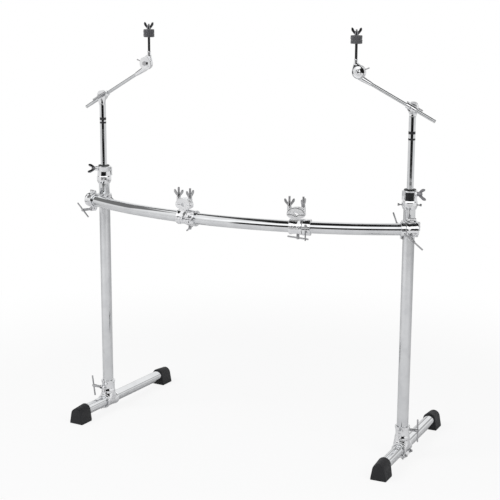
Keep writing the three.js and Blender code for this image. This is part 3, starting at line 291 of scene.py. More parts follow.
# Rubber feet: moulded black rubber boots pushed over the ends of the foot bars. The sides flare from a round
# crown to a flat sole, and the block leans in towards its closed outer end. Friction holds them.
BOOT_LENGTH = 60.0
BOOT_OVERLAP = 46.0
BOOT_SOLE_WIDTH = 54.0
BOOT_CROWN_RADIUS = 22.4
BOOT_SHOULDER_HEIGHT = 38.6
BOOT_SOLE_FLAT = 6.0
BOOT_LEAN, BOOT_SLOPE = 0.1, 0.08
BOOT_EDGE = 3.2
FIT = 0.3
BORE_RADIUS = 19.45


def arc(radius, start, end, count, centre=(0, 0)):
    """Points centre + radius (cos a, sin a) for a from start to end, in degrees."""
    a = np.radians(np.linspace(start, end, count))
    return np.stack([centre[0] + radius * np.cos(a), centre[1] + radius * np.sin(a)], axis=1)


def slab(outline, low, high, edge=0.0, steps=4):
    """A plate: the outline goes from z = low to high, and is drawn in by edge (1 - sin a) near both faces."""
    along = np.roll(outline, -1, axis=0) - np.roll(outline, 1, axis=0)
    along /= np.linalg.norm(along, axis=1, keepdims=True)
    inwards = np.stack([-along[:, 1], along[:, 0]], axis=1)
    a = np.linspace(0, np.pi / 2, steps + 1) if edge else np.array([np.pi / 2])
    insets = edge * np.concatenate([1 - np.sin(a), 1 - np.sin(a[::-1])])
    rise = edge * (1 - np.cos(a))
    heights = np.concatenate([low + rise, high - rise[::-1]])
    rows = outline[None] + inwards[None] * insets[:, None, None]
    grid = np.concatenate([rows, np.broadcast_to(heights[:, None, None], rows.shape[:2] + (1,))], axis=-1)
    points, quads, _ = skin(grid)
    last = len(points) - len(outline)
    return points, quads, [np.arange(len(outline))[::-1], np.arange(len(outline)) + last]


def rod(radius, low, high, edge=0.5, facets=48):
    """A round bar along Z from low to high, with eased end edges."""
    return spun(eased([(0, low), (radius, low), (radius, high), (0, high)], edge), facets)


def fused(name, shells, bores=(), net=None, rounds=6):
    """Joins closed shells and takes the bores out. A casting is then covered by a net of that cell size and
    smoothed a few rounds, which rounds its edges and inner corners as tumbling and plating leave them."""
    made = [bpy.data.objects.new(name, mesh_of(name, shell)) for shell in (*shells, *bores)]
    for piece in made:
        bpy.context.scene.collection.objects.link(piece)
    body = made[0]
    for index, tool in enumerate(made[1:], 1):
        step = body.modifiers.new("join_or_cut", "BOOLEAN")
        step.operation = "UNION" if index < len(shells) else "DIFFERENCE"
        step.solver = "MANIFOLD"
        step.object = tool
    if net:
        cover = body.modifiers.new("net", "REMESH")
        cover.mode = "VOXEL"
        cover.voxel_size = net * MM
        ease = body.modifiers.new("ease", "SMOOTH")
        ease.factor = 0.5
        ease.iterations = rounds
    graph = bpy.context.evaluated_depsgraph_get()
    result = bpy.data.meshes.new_from_object(body.evaluated_get(graph))
    if not len(result.polygons):
        raise ValueError(name + " came out empty")
    for piece in made:
        old = piece.data
        bpy.data.objects.remove(piece)
        bpy.data.meshes.remove(old)
    return result


# Moulded grain: a fine pebbled bump from the mould, and a paler dust that settles in broad patches
DUST_EDGES = (0.4, 0.75)
GRAIN_DEPTH = 0.3 * MM
grain, start, end = node_group(
    "moulded_grain", {"Grain Scale": 900.0, "Dust Scale": 14.0}, ["Height", "Dust"]
)
on_moulding = add_node(grain, "ShaderNodeTexCoord").outputs["Object"]
grain_scale = start.outputs["Grain Scale"]
pebbles = add_node(grain, "ShaderNodeTexVoronoi", None, Vector=on_moulding, Scale=grain_scale)
height = maths(grain, "ADD", pebbles.outputs["Distance"], noise(grain, grain_scale, 4.0, 0.6))
patches = noise(grain, start.outputs["Dust Scale"], 6.0, 0.7)
grain.links.new(height, end.inputs["Height"])
grain.links.new(ranged(grain, patches, *DUST_EDGES, 0.0, 1.0), end.inputs["Dust"])


def moulded(name, colour, dusty_colour, smooth, rough, scale, bump):
    """Moulded black plastic or rubber: pebbled bump, with colour and roughness rising where dust lies."""
    material, tree, shader = new_material(name)
    marks = add_node(tree, "ShaderNodeGroup", {"node_tree": grain}, Grain_Scale=scale).outputs
    spread = ranged(tree, marks["Dust"], 0.0, 1.0, smooth, rough, False)
    colours = mixed_colours(tree, marks["Dust"], colour, dusty_colour)
    link_looks(tree, shader, colours, spread, marks["Height"], bump, GRAIN_DEPTH)
    return material


black_rubber = moulded(
    "black_rubber", (0.007, 0.0075, 0.009, 1), (0.014, 0.0145, 0.016, 1),
    smooth=0.55, rough=0.75, scale=700.0, bump=0.5,
)


def boot_shell():
    """The boot: its arched outline (x, z) carried along y, narrowed by the lean towards its closed end."""
    rise = BOOT_SHOULDER_HEIGHT - BOOT_SOLE_FLAT
    reach = math.hypot(BOOT_SOLE_WIDTH / 2, rise)
    touch = math.degrees(math.acos(BOOT_CROWN_RADIUS / reach) - math.atan2(rise, BOOT_SOLE_WIDTH / 2))
    half = BOOT_SOLE_WIDTH / 2
    crown = arc(BOOT_CROWN_RADIUS, touch, 180 - touch, 49, (0, BOOT_SHOULDER_HEIGHT))
    corners = eased([(-half, BOOT_SOLE_FLAT), (-half, 0), (half, 0), (half, BOOT_SOLE_FLAT)], 2.0)
    outline = np.concatenate([corners, crown])
    points, quads, caps = slab(outline, -BOOT_LENGTH / 2, BOOT_LENGTH / 2, BOOT_EDGE, 6)
    x, z, y = points[:, 0], points[:, 1], -points[:, 2]
    outwards = 0.5 - y / BOOT_LENGTH
    height = z / (BOOT_SHOULDER_HEIGHT + BOOT_CROWN_RADIUS)
    x = x * (1 - BOOT_LEAN * outwards * height)
    z = z * (1 - BOOT_SLOPE * outwards) - FOOT_AXIS_HEIGHT
    return np.stack([x, y, z], axis=1), quads, caps


socket_low = BOOT_LENGTH / 2 - BOOT_OVERLAP
boot = fused(
    "boot",
    [boot_shell()],
    [put(rod(BORE_RADIUS, -BOOT_LENGTH, -socket_low, 1.0, 96), turn("X", 90))],
)
reach = FOOT_BAR_LENGTH / 2 + FIT + BOOT_LENGTH / 2 - BOOT_OVERLAP
for side, towards in zip(SIDES, (1, -1)):
    for end_name, way in (("front", towards), ("rear", -towards)):
        place = feet[side] @ move(0, way * reach, 0) @ turn("Z", 180 if way > 0 else 0)
        node = side + "_" + end_name + "_foot"
        add_piece(node + "_rubber", boot, place, side + "_foot", black_rubber, node, crease=50)

# Jaw clamps: each tube is gripped by a hinged pair of half rings, cast in zinc and chrome plated. The ring's
# rims stand higher than its waist. A pin holds the hinge, and a screw with a cross bar closes the other side.
JAW_WAIST, JAW_RIM = 22.6, 25.2
JAW_LIP_START, JAW_LIP_END = 0.25, 0.86
JAW_SPLIT_ANGLE = 2.0
HINGE_OFFSET = SCREW_OFFSET = 31.0
KNUCKLE_RADIUS = 5.4
KNUCKLE_GAP = 6.3
HINGE_HALF = 14.0
LUG_THICKNESS = 9.0
LUG_HALF_WIDTH = 8.0
SHANK_RADIUS, SHANK_ROOM = 3.0, 0.4
PIN_RADIUS, PIN_ROOM = 2.2, 0.2
HALF_SPLIT = 0.75
CAST_NET = 0.9
JAW_WIDTH = 38.0

cast_chrome = plated(
    "cast_chrome", (0.93, 0.935, 0.945, 1), (0.84, 0.845, 0.86, 1),
    smooth=0.05, rough=0.17, wave=140.0, bump=0.3, amount=1.2,
)
screw_plate = plated(
    "screw_plate", (0.56, 0.56, 0.57, 1), (0.42, 0.425, 0.435, 1),
    smooth=0.16, rough=0.36, wave=260.0, bump=0.2, amount=1.3, lines=900.0,
)
dark_plate = plated(
    "dark_plate", (0.3, 0.3, 0.315, 1), (0.2, 0.2, 0.21, 1),
    smooth=0.12, rough=0.3, wave=260.0, bump=0.2, amount=1.3, lines=900.0,
)


def flare(width, steps=24):
    """The ring's section: a bore, and a radius that climbs from the waist to the rim by 3 h^2 - 2 h^3, where
    h runs from 0 to 1 between JAW_LIP_START and JAW_LIP_END of the way to each end of its width."""
    s = np.linspace(-1, 1, 2 * steps + 1)
    h = np.clip((np.abs(s) - JAW_LIP_START) / (JAW_LIP_END - JAW_LIP_START), 0, 1)
    outside = np.stack([JAW_WAIST + (JAW_RIM - JAW_WAIST) * (3 * h**2 - 2 * h**3), s * width / 2], axis=1)
    bore = BORE_RADIUS - 1
    return np.concatenate([outside, [(bore, width / 2), (bore, -width / 2)]])


def half_ring(width, side, facets=64):
    """The flared section carried half way round Z on the side of +Y (1) or -Y (-1), with its ends closed."""
    r, z = flare(width).T
    t = np.radians(np.linspace(JAW_SPLIT_ANGLE, 180 - JAW_SPLIT_ANGLE, facets)) * side
    grid = np.stack([np.outer(np.cos(t), r), np.outer(np.sin(t), r), np.outer(np.ones(facets), z)], axis=-1)
    points, quads, _ = skin(grid)
    return points, quads, [np.arange(len(r)), np.arange(len(r)) + len(points) - len(r)]


def box(x, y, z):
    """A block between the lowest and highest x, y and z."""
    (x0, x1), (y0, y1) = x, y
    return slab(np.array([(x0, y0), (x1, y0), (x1, y1), (x0, y1)], float), *z)


def screw_lug(side):
    """A tongue of lug thickness towards -X, in the plane of X and Z, with a round end about the screw."""
    tip = arc(LUG_HALF_WIDTH, 90, 270, 33, (-SCREW_OFFSET, 0))
    outline = np.concatenate([[(0, LUG_HALF_WIDTH)], tip, [(0, -LUG_HALF_WIDTH)]])
    near, far = (-LUG_THICKNESS, -HALF_SPLIT) if side > 0 else (HALF_SPLIT, LUG_THICKNESS)
    return put(slab(outline, near, far), axes((1, 0, 0), (0, 0, 1)))


def knuckle(side, low, high):
    """A hinge barrel along Z beyond +X, with the web that ties it to the ring."""
    y = (HALF_SPLIT, KNUCKLE_RADIUS) if side > 0 else (-KNUCKLE_RADIUS, -HALF_SPLIT)
    barrel = put(rod(KNUCKLE_RADIUS, low, high, 0.2, 32), move(HINGE_OFFSET, 0, 0))
    return [box((BORE_RADIUS, HINGE_OFFSET), y, (low, high)), barrel]


def jaw_body(width):
    """The shells of the clamp's own half: half ring, screw lug and the two outer knuckles."""
    knuckles = knuckle(1, KNUCKLE_GAP, HINGE_HALF) + knuckle(1, -HINGE_HALF, -KNUCKLE_GAP)
    return [half_ring(width, 1), screw_lug(1), *knuckles]


def jaw_bores(width):
    """What is taken out of a jaw: the tube's bore, and the screw's hole through the lug."""
    hole = put(rod(SHANK_RADIUS + SHANK_ROOM, -20, 20, 0, 24), move(-SCREW_OFFSET, 0, 0) @ turn("X", 90))
    return [rod(BORE_RADIUS, -width, width, 0), hole]


def jaw_cap(name, width):
    """The hinged half: half ring, centre knuckle, and a lug whose slot is open at its end."""
    shells = [half_ring(width, -1), screw_lug(-1), *knuckle(-1, -KNUCKLE_GAP + FIT, KNUCKLE_GAP - FIT)]
    slot = box((-60, -SCREW_OFFSET), (-20, 20), (-SHANK_RADIUS - 0.6, SHANK_RADIUS + 0.6))
    pin_hole = put(rod(PIN_RADIUS + PIN_ROOM, -20, 20, 0, 24), move(HINGE_OFFSET, 0, 0))
    return fused(name, shells, [*jaw_bores(width), slot, pin_hole], CAST_NET)


def threaded(radius, low, high, pitch=1.25, depth=0.55, facets=32):
    """A thread along Z: radius - depth |2 f - 1| where f is the fraction of z / pitch - t / 2 pi."""
    z = np.linspace(low, high, int((high - low) / pitch * 6) + 2)
    t = np.linspace(0, 2 * np.pi, facets, endpoint=False)
    f = np.mod(z[:, None] / pitch - t[None] / (2 * np.pi), 1)
    taper = np.clip(np.minimum(z - low, high - z) / pitch, 0, 1)[:, None]
    r = radius - depth * (1 - taper * (1 - np.abs(2 * f - 1)))
    wall = np.stack([r * np.cos(t), r * np.sin(t), np.broadcast_to(z[:, None], r.shape)], axis=-1)
    poles = np.zeros((2, facets, 3))
    poles[:, :, 2] = [[low], [high]]
    return skin(np.concatenate([poles[:1], wall, poles[1:]]))


hinge_pin = mesh_of("hinge_pin", rod(PIN_RADIUS, -HINGE_HALF - 0.5, HINGE_HALF + 0.5, 0.7, 32))
CROSS_BAR_RADIUS = 2.7
BARREL_PROFILE = [(7.0, 0), (7.0, 2.5), (4.2, 5.0)]


def cross_bar_screw(name, tip, seat, reach, span):
    """A screw along -Y: threaded shank from tip to seat, flange, barrel, and a cross bar at reach along Z."""
    neck = [(r, seat + z) for r, z in BARREL_PROFILE]
    barrel = [(0, seat), *neck, (5.2, reach - 4.5), (5.2, reach + 3.2), (4.2, reach + 4.5), (0, reach + 4.5)]
    body = put(spun(eased(barrel, 0.7), 48), turn("X", 90))
    shank = put(threaded(SHANK_RADIUS, tip, seat + 1, 1.0, 0.45), turn("X", 90))
    r, half = CROSS_BAR_RADIUS, span / 2
    grip_bar = spun(eased([(0, -half), (r, -half), (r, half), (0, half)], 1.8, 6), 32)
    return fused(name, [body, shank, put(grip_bar, move(0, -reach, 0))])


jaw_screw = cross_bar_screw("jaw_screw", -13.0, LUG_THICKNESS + FIT, 42.5, 80.0)


def add_jaw(name, jaw_place, cap_mesh, tilt, body):
    """The cap, the screw and the hinge pin of one jaw, at a place whose X points at the hinge."""
    cap, screw = name + "_cap", name + "_t_screw"
    add_piece(cap + "_casting", cap_mesh, jaw_place, cap, cast_chrome, cap, crease=60)
    screw_place = jaw_place @ move(-SCREW_OFFSET, 0, 0) @ turn("Y", tilt)
    add_piece(screw + "_turned", jaw_screw, screw_place, screw, screw_plate, screw)
    pin_place = jaw_place @ move(HINGE_OFFSET, 0, 0)
    add_piece(name + "_hinge_pin", hinge_pin, pin_place, body, screw_plate, slot=body + "_clamp")


# Leg clamps: one casting holds the foot bar in a long split eye and the post in a jaw above it.
# Two bolts through a pair of lugs pinch the eye, and the post's foot stands on the seat between the two.
EYE_LENGTH = 66.0
LEG_JAW_CENTRE, LEG_JAW_WIDTH = 54.0, 44.0
LUG_REACH, PINCH_THICKNESS = 7.0, 5.0
EYE_SLIT = 2.4
PINCH_ANGLE = 50.0
PINCH_BOLT_SPACING = 50.0
LEG_SCREW_TILTS = {"left": 10, "right": -3}

jaw_bottom = LEG_JAW_CENTRE - LEG_JAW_WIDTH / 2
seat_top = jaw_bottom - FIT
leg_jaw = move(0, 0, LEG_JAW_CENTRE) @ axes((0, -1, 0), (-1, 0, 0))
pinch = turn("Y", PINCH_ANGLE)
lug_end = JAW_RIM + LUG_REACH
lug_reach = PINCH_THICKNESS + EYE_SLIT / 2


def shell_of(mesh):
    """A mesh in metres given back as a shell in millimetres, for further joining."""
    points = np.empty(len(mesh.vertices) * 3)
    mesh.vertices.foreach_get("co", points)
    faces = [np.array(p.vertices) for p in mesh.polygons]
    return points.reshape(-1, 3) / MM, np.zeros((0, 4), int), faces


eye = put(spun(flare(EYE_LENGTH), closed=True), turn("X", 90))
seat_block = rod(JAW_RIM, 6, seat_top, 0.5, 96)
fillet_low, fillet_high = TUBE_RADIUS / 2, seat_top - 2
fillet = spun([(0, fillet_low), (EYE_LENGTH / 2 - 3, fillet_low), (JAW_RIM, fillet_high), (0, fillet_high)])
flanks = [box(x, (-90, 90), (-90, 90)) for x in ((JAW_RIM, 90), (-90, -JAW_RIM))]
fillet = shell_of(fused("fillet", [fillet], flanks))
along_eye = (-EYE_LENGTH / 2, EYE_LENGTH / 2)
lugs = put(box((BORE_RADIUS + 0.5, lug_end), along_eye, (-lug_reach, lug_reach)), pinch)
slit = put(box((0, lug_end + 5), (-EYE_LENGTH, EYE_LENGTH), (-EYE_SLIT / 2, EYE_SLIT / 2)), pinch)
ring = pipe(JAW_RIM, BORE_RADIUS, seat_top - 3, jaw_bottom + 1, 0.01)
back_wall = shell_of(fused("back_wall", [ring], [box((-HALF_SPLIT, 90), (-90, 90), (0, 90))]))
leg_casting = fused(
    "leg_casting",
    [eye, seat_block, fillet, lugs, back_wall, *(put(s, leg_jaw) for s in jaw_body(LEG_JAW_WIDTH))],
    [
        slit,
        put(rod(BORE_RADIUS, -EYE_LENGTH, EYE_LENGTH, 0), turn("X", 90)),
        rod(BORE_RADIUS, seat_top, 120, 0),
        put(jaw_bores(LEG_JAW_WIDTH)[1], leg_jaw),
    ],
    CAST_NET,
)
leg_cap = jaw_cap("leg_cap", LEG_JAW_WIDTH)
NUT_RADIUS, NUT_HEIGHT = 5.2, 4
bolt_reach = lug_reach + NUT_HEIGHT


def bolt_end(low, high):
    """A hexagon along Z from low to high, as a bolt's head or its nut."""
    return spun(eased([(0, low), (NUT_RADIUS, low), (NUT_RADIUS, high), (0, high)], 0.6), 6)


pinch_bolt = fused(
    "pinch_bolt",
    [
        threaded(SHANK_RADIUS, -bolt_reach + 1, bolt_reach + 2, 1.0, 0.45),
        bolt_end(-bolt_reach, -lug_reach),
        bolt_end(lug_reach, bolt_reach),
    ],
)
for side in SIDES:
    body = side + "_leg"
    add_piece(body + "_clamp_casting", leg_casting, legs[side], body, cast_chrome, body + "_clamp", crease=60)
    for end_name, y in (("front", -1), ("rear", 1)):
        place = legs[side] @ pinch @ move((JAW_RIM + lug_end) / 2, y * PINCH_BOLT_SPACING / 2, 0)
        add_piece(f"{body}_{end_name}_pinch_bolt", pinch_bolt, place, body, screw_plate, slot=body + "_clamp")
    add_jaw(body, legs[side] @ leg_jaw, leg_cap, LEG_SCREW_TILTS[side], body)

# Posts: two upright lengths of the same chromed tube. Each has a slot sawn down from its top end to a drilled
# hole, so that the collar of the boom clamp can pinch it.
POST_TOP = 862.0
POST_BOTTOM = FOOT_AXIS_HEIGHT + LEG_JAW_CENTRE - LEG_JAW_WIDTH / 2
SLOT_WIDTH, SLOT_DEPTH, SLOT_END_RADIUS, SLOT_ANGLE = 3.0, 50.0, 3.4, -72.0

slot_low = POST_TOP - SLOT_DEPTH
slot_turn = turn("Z", SLOT_ANGLE)
post_tube = fused(
    "post_tube",
    [pipe(TUBE_RADIUS, TUBE_RADIUS - TUBE_WALL, POST_BOTTOM, POST_TOP)],
    [
        put(box((5, 40), (-SLOT_WIDTH / 2, SLOT_WIDTH / 2), (slot_low, POST_TOP + 5)), slot_turn),
        put(rod(SLOT_END_RADIUS, 5, 40, 0), slot_turn @ move(0, 0, slot_low) @ turn("Y", 90)),
    ],
)
for side in SIDES:
    add_piece(side + "_post_upright", post_tube, posts[side], side + "_post", tube_chrome, side + "_post")

# Boom clamps: a cast collar over the post's top end with a cage above it. The cage holds a slit black nylon
# bushing, and the wing screw squeezes the bushing on to the boom tube. Two set bolts hold the collar.
CLAMP_TURNS = {"left": 205, "right": -13}
SET_BOLT_TURNS = {"left": -59, "right": 30}
CLAMP_WING_TURNS = {"left": 50, "right": 12}
COLLAR_RADIUS, COLLAR_DROP, COLLAR_LIP = 25.4, 24.0, 21.0
CAGE_RADIUS, CAGE_HEIGHT, CAGE_WAIST = 23.6, 38.0, 1.2
BOOM_RADIUS = 11.1
BUSHING_BORE = BOOM_RADIUS + 0.35
BUSHING_RADIUS, CAGE_ROOM = 17.2, 0.4
BUSHING_LIP_RADIUS, BUSHING_LIP_HEIGHT = 19.2, 2.5
WINDOW_ANGLE = -62.0
WING_BOSS_HEIGHT, WING_BOSS_REACH = 28.0, 30.0
SET_BOLT_REACH, SET_BOLT_DROP = 38.0, 10.0

nylon = moulded(
    "nylon_bushing", (0.004, 0.0042, 0.005, 1), (0.008, 0.0083, 0.009, 1),
    smooth=0.42, rough=0.6, scale=1500.0, bump=0.2,
)
cage_room = BUSHING_RADIUS + CAGE_ROOM
clamp_profile = [
    (BORE_RADIUS - 1, -COLLAR_DROP), (COLLAR_LIP, -COLLAR_DROP), (COLLAR_RADIUS, -13), (COLLAR_RADIUS, 0),
    (CAGE_RADIUS, 4), (CAGE_RADIUS - CAGE_WAIST, CAGE_HEIGHT / 2), (CAGE_RADIUS, CAGE_HEIGHT - 2),
    (CAGE_RADIUS - 2, CAGE_HEIGHT), (cage_room - 1, CAGE_HEIGHT),
    (cage_room - 1, FIT), (BORE_RADIUS - 1, FIT),
]
to_wing = move(0, 0, WING_BOSS_HEIGHT) @ turn("Y", 90)
boom_clamp = fused(
    "boom_clamp",
    [
        spun(clamp_profile, closed=True),
        put(rod(8.0, cage_room, WING_BOSS_REACH, 0.6), to_wing),
        put(rod(KNUCKLE_RADIUS, 4, CAGE_HEIGHT - 4, 0.5), move(-CAGE_RADIUS, 0, 0)),
    ],
    [
        put(box((cage_room - 5, 40), (-15, 15), (6, 32)), turn("Z", WINDOW_ANGLE)),
        put(rod(4.4, 0, 40, 0), to_wing),
        rod(cage_room, FIT, 60, 0),
        rod(BORE_RADIUS, -60, FIT, 0),
    ],
    CAST_NET,
)
lip = CAGE_HEIGHT + FIT
lip_top = lip + BUSHING_LIP_HEIGHT
bushing_profile = [
    (BUSHING_BORE, 4), (BUSHING_RADIUS, 4), (BUSHING_RADIUS, lip),
    (BUSHING_LIP_RADIUS, lip), (BUSHING_LIP_RADIUS, lip_top), (BUSHING_BORE, lip_top),
]
bushing = fused(
    "bushing",
    [spun(eased(bushing_profile, 0.5, closed=True), closed=True)],
    [box((-40, 0), (-1, 1), (0, 80))],
)
hex_head = [(0, 32), (4.1, 32), (4.1, SET_BOLT_REACH), (0, SET_BOLT_REACH)]
set_bolt = fused("set_bolt", [threaded(2.1, BORE_RADIUS - 0.2, 36, 0.8, 0.35), spun(eased(hex_head, 0.5), 6)])

WING_SHARES = [
    (0.1, 0.02), (0.42, 0.1), (0.8, 0.42), (1, 0.62), (1, 0.96), (0.86, 1), (0.62, 0.94), (0.4, 0.58),
    (0.1, 0.42),
]
WING_HALF_THICKNESS = 2.4
WING_HUB_HEIGHT = 13.0
WING_NET = 0.55


def rounded_loop(points, rounds=3):
    """A closed outline with its corners cut by Chaikin's rule: each side keeps its points at 1/4 and 3/4."""
    for _ in range(rounds):
        beside = np.roll(points, -1, axis=0)
        near, far = 0.75 * points + 0.25 * beside, 0.25 * points + 0.75 * beside
        points = np.stack([near, far], axis=1).reshape(-1, 2)
    return points


def wing_head(name, span, height, bore=None, shank=None):
    """A wing nut along Z from its seat: a tapered hub and two rounded wings, cast in one."""
    wing = rounded_loop(np.array(WING_SHARES) * (span / 2, height))
    lay = axes((1, 0, 0), (0, 0, 1))
    plate = slab(wing, -WING_HALF_THICKNESS, WING_HALF_THICKNESS, 1.0)
    hub = spun(eased([(0, 0), (6.6, 0), (5.0, WING_HUB_HEIGHT), (0, WING_HUB_HEIGHT)], 1.0), 64)
    shells = [hub, put(plate, lay), put(plate, turn("Z", 180) @ lay)]
    bores = [rod(bore, -5, 40, 0)] if bore else []
    head = fused(name + "_head", shells, bores, WING_NET, 4)
    return head if shank is None else joined(name, head, shank)


def joined(name, *parts):
    """One mesh of closed forms that are held in each other, such as a head and its threaded shank."""
    work = bmesh.new()
    for part in parts:
        work.from_mesh(part)
    mesh = bpy.data.meshes.new(name)
    work.to_mesh(mesh)
    work.free()
    return mesh


wing_shank = mesh_of("wing_shank", threaded(4.0, cage_room - WING_BOSS_REACH - FIT, 2, 1.25, 0.5))
clamp_wing = wing_head("clamp_wing", 39.0, 26.0, shank=wing_shank)
clamps = {side: posts[side] @ move(0, 0, POST_TOP) @ turn("Z", CLAMP_TURNS[side]) for side in SIDES}
for side in SIDES:
    body, clamp = side + "_post", side + "_boom_clamp"
    add_piece(clamp + "_casting", boom_clamp, clamps[side], body, cast_chrome, clamp, crease=60)
    for name, way in (("first", 0), ("second", 180)):
        outwards = turn("Z", SET_BOLT_TURNS[side] + way) @ move(0, 0, -SET_BOLT_DROP) @ turn("Y", 90)
        lay = clamps[side] @ outwards
        add_piece(f"{clamp}_{name}_set_bolt", set_bolt, lay, body, screw_plate, slot=clamp)
    inner = clamp + "_bushing"
    add_piece(inner + "_moulded", bushing, clamps[side], inner, nylon, inner)
    place = clamps[side] @ to_wing @ turn("Z", CLAMP_WING_TURNS[side]) @ move(0, 0, WING_BOSS_REACH + FIT)
    node = clamp + "_wing_screw"
    add_piece(node + "_cast", clamp_wing, place, node, dark_plate, node, crease=60)

# Corner clamps: two jaws cast back to back at right angles. One grips the post and the other the curved bar,
# so the bar crosses in front of each post.
BEND_RADIUS = 1253.0
CROSSING = 46.0
BAR_HEIGHT = 782.0
BAR_SCREW_TILTS = {"left": 29, "right": 42}
POST_SCREW_TILTS = {"left": 62, "right": 20}

post_ring = BEND_RADIUS - CROSSING
bend_centre = math.sqrt(post_ring**2 - (POST_SPACING / 2) ** 2)
CORNER_ANGLE = math.degrees(math.asin(POST_SPACING / 2 / post_ring))
bend = RACK @ move(0, bend_centre, BAR_HEIGHT)


def on_bar(degrees, radius=BEND_RADIUS):
    """A place on the bar: X runs along the bar to the right, and -Y points out of the bend."""
    return bend @ turn("Z", degrees) @ move(0, -radius, 0)


bar_jaw = move(0, -CROSSING, 0) @ axes((0, 0, 1), (0, 1, 0))
post_jaw = axes((1, 0, 0), (0, -1, 0))
SADDLE_RIM, SADDLE_SHOULDER, SADDLE_WAIST = JAW_RIM - 0.6, 17.5, 14.25
saddle = [
    (0, 1), (SADDLE_RIM, 1), (SADDLE_SHOULDER, 12), (SADDLE_WAIST, 19),
    (SADDLE_WAIST, 27), (SADDLE_SHOULDER, 34), (SADDLE_RIM, CROSSING - 1), (0, CROSSING - 1),
]
corner_casting = fused(
    "corner_casting",
    [
        put(spun(saddle), turn("X", 90)),
        *(put(shell, bar_jaw) for shell in jaw_body(JAW_WIDTH)),
        *(put(shell, post_jaw) for shell in jaw_body(JAW_WIDTH)),
    ],
    [put(tool, jaw) for jaw in (bar_jaw, post_jaw) for tool in jaw_bores(JAW_WIDTH)],
    CAST_NET,
)
corner_cap = jaw_cap("corner_cap", JAW_WIDTH)
corners = {side: on_bar(sign * CORNER_ANGLE, post_ring) for side, sign in zip(SIDES, (-1, 1))}
for side in SIDES:
    body = side + "_corner"
    clamp = body + "_clamp"
    add_piece(clamp + "_casting", corner_casting, corners[side], body, cast_chrome, clamp, crease=60)
    add_jaw(body + "_bar", corners[side] @ bar_jaw, corner_cap, BAR_SCREW_TILTS[side], body)
    add_jaw(body + "_post", corners[side] @ post_jaw, corner_cap, POST_SCREW_TILTS[side], body)

# Curved bar: one length of the same tube, rolled to an even bend that bulges towards the audience, then
# polished and plated. Both corner clamps and both holder clamps slide along it.
BAR_OVERHANG = 21.0
BAR_STEPS = 240


def bent(shell, radius):
    """A straight tube along Z laid round the bend: (x, y, s) goes to ((R+x) sin(s/R), -(R+x) cos(s/R), y)."""
    points, quads, caps = shell
    x, y, s = points.T
    out, t = radius + x, s / radius
    return np.stack([out * np.sin(t), -out * np.cos(t), y], axis=1), quads, caps


half_bar = math.radians(CORNER_ANGLE) * BEND_RADIUS + BAR_OVERHANG
run = np.linspace(-half_bar, half_bar, BAR_STEPS + 1)
inner = TUBE_RADIUS - TUBE_WALL
bar_profile = np.concatenate([
    np.stack([np.full_like(run, TUBE_RADIUS), run], axis=1),
    np.stack([np.full_like(run, inner), run[::-1]], axis=1),
])
curved_bar = mesh_of("curved_bar", bent(spun(bar_profile, closed=True), BEND_RADIUS))
add_piece("curved_bar_tube", curved_bar, bend, "bar", tube_chrome, "curved_bar")

# Stop rings: slit rings that are pinched on the bar beside a clamp, and stop it sliding or turning.
# A key bolt crosses the slit.
CORNER_RING_WIDTH, CORNER_RING_RADIUS = 15.0, 24.4
HOLDER_RING_WIDTH, HOLDER_RING_RADIUS = 26.0, 26.6
RING_GAP = 1.0
RING_LUG_RISE, RING_HALF_SLIT, RING_NET = 6.3, 1.2, 0.7
KEY_BOLT_RADIUS = 2.4
HOLDER_JAW_WIDTH = 42.0
HOLDER_ANGLES = {"left": -6.95, "right": 11.05}


def stop_ring(name, width, radius):
    """A ring about X with a slit lug towards -Z, its rim a little higher than its middle."""
    end = radius + RING_LUG_RISE
    shell = [(BORE_RADIUS - 1, -width / 2), (radius, -width / 2), (radius - 0.7, 0), (radius, width / 2)]
    ring = put(spun([*shell, (BORE_RADIUS - 1, width / 2)], closed=True), turn("Y", 90))
    lug = box((-width / 2, width / 2), (-5.5, 5.5), (-end, -BORE_RADIUS))
    slit = box((-width, width), (-RING_HALF_SLIT, RING_HALF_SLIT), (-end - 5, 0))
    return fused(name, [ring, lug], [slit, put(rod(BORE_RADIUS, -width, width, 0), turn("Y", 90))], RING_NET)


def key_bolt(name, tail):
    """The bolt across the slit: a threaded shank along Y to its tail, and a square head on the other side."""
    head = spun(eased([(0, 8.4), (3.6, 8.4), (3.6, 13.7), (0, 13.7)], 0.5), 4)
    flange = rod(4.6, 5.6, 8.6, 0.6, 32)
    return fused(name, [threaded(KEY_BOLT_RADIUS, -tail, 9, 0.8, 0.4), flange, head])


rings = {
    "right_corner": (CORNER_RING_WIDTH, CORNER_RING_RADIUS, 12.0, 0),
    "left_holder": (HOLDER_RING_WIDTH, HOLDER_RING_RADIUS, 12.0, -90),
    "right_holder": (HOLDER_RING_WIDTH, HOLDER_RING_RADIUS, 38.0, -90),
}
for name, (width, radius, tail, ring_turn) in rings.items():
    if name == "right_corner":
        angle = CORNER_ANGLE - math.degrees(((JAW_WIDTH + width) / 2 + RING_GAP) / BEND_RADIUS)
    else:
        beside = math.degrees(((HOLDER_JAW_WIDTH + width) / 2 + RING_GAP) / BEND_RADIUS)
        angle = HOLDER_ANGLES[name.split("_")[0]] + beside
    place = on_bar(angle) @ turn("X", ring_turn)
    node, body = name + "_stop_ring", name + "_ring"
    add_piece(node + "_cast", stop_ring(body, width, radius), place, body, cast_chrome, node, crease=60)
    bolt_place = place @ move(0, 0, -radius - RING_LUG_RISE / 2) @ turn("X", 90)
    add_piece(name + "_key_bolt", key_bolt(name + "_bolt", tail), bolt_place, body, screw_plate, slot=node)

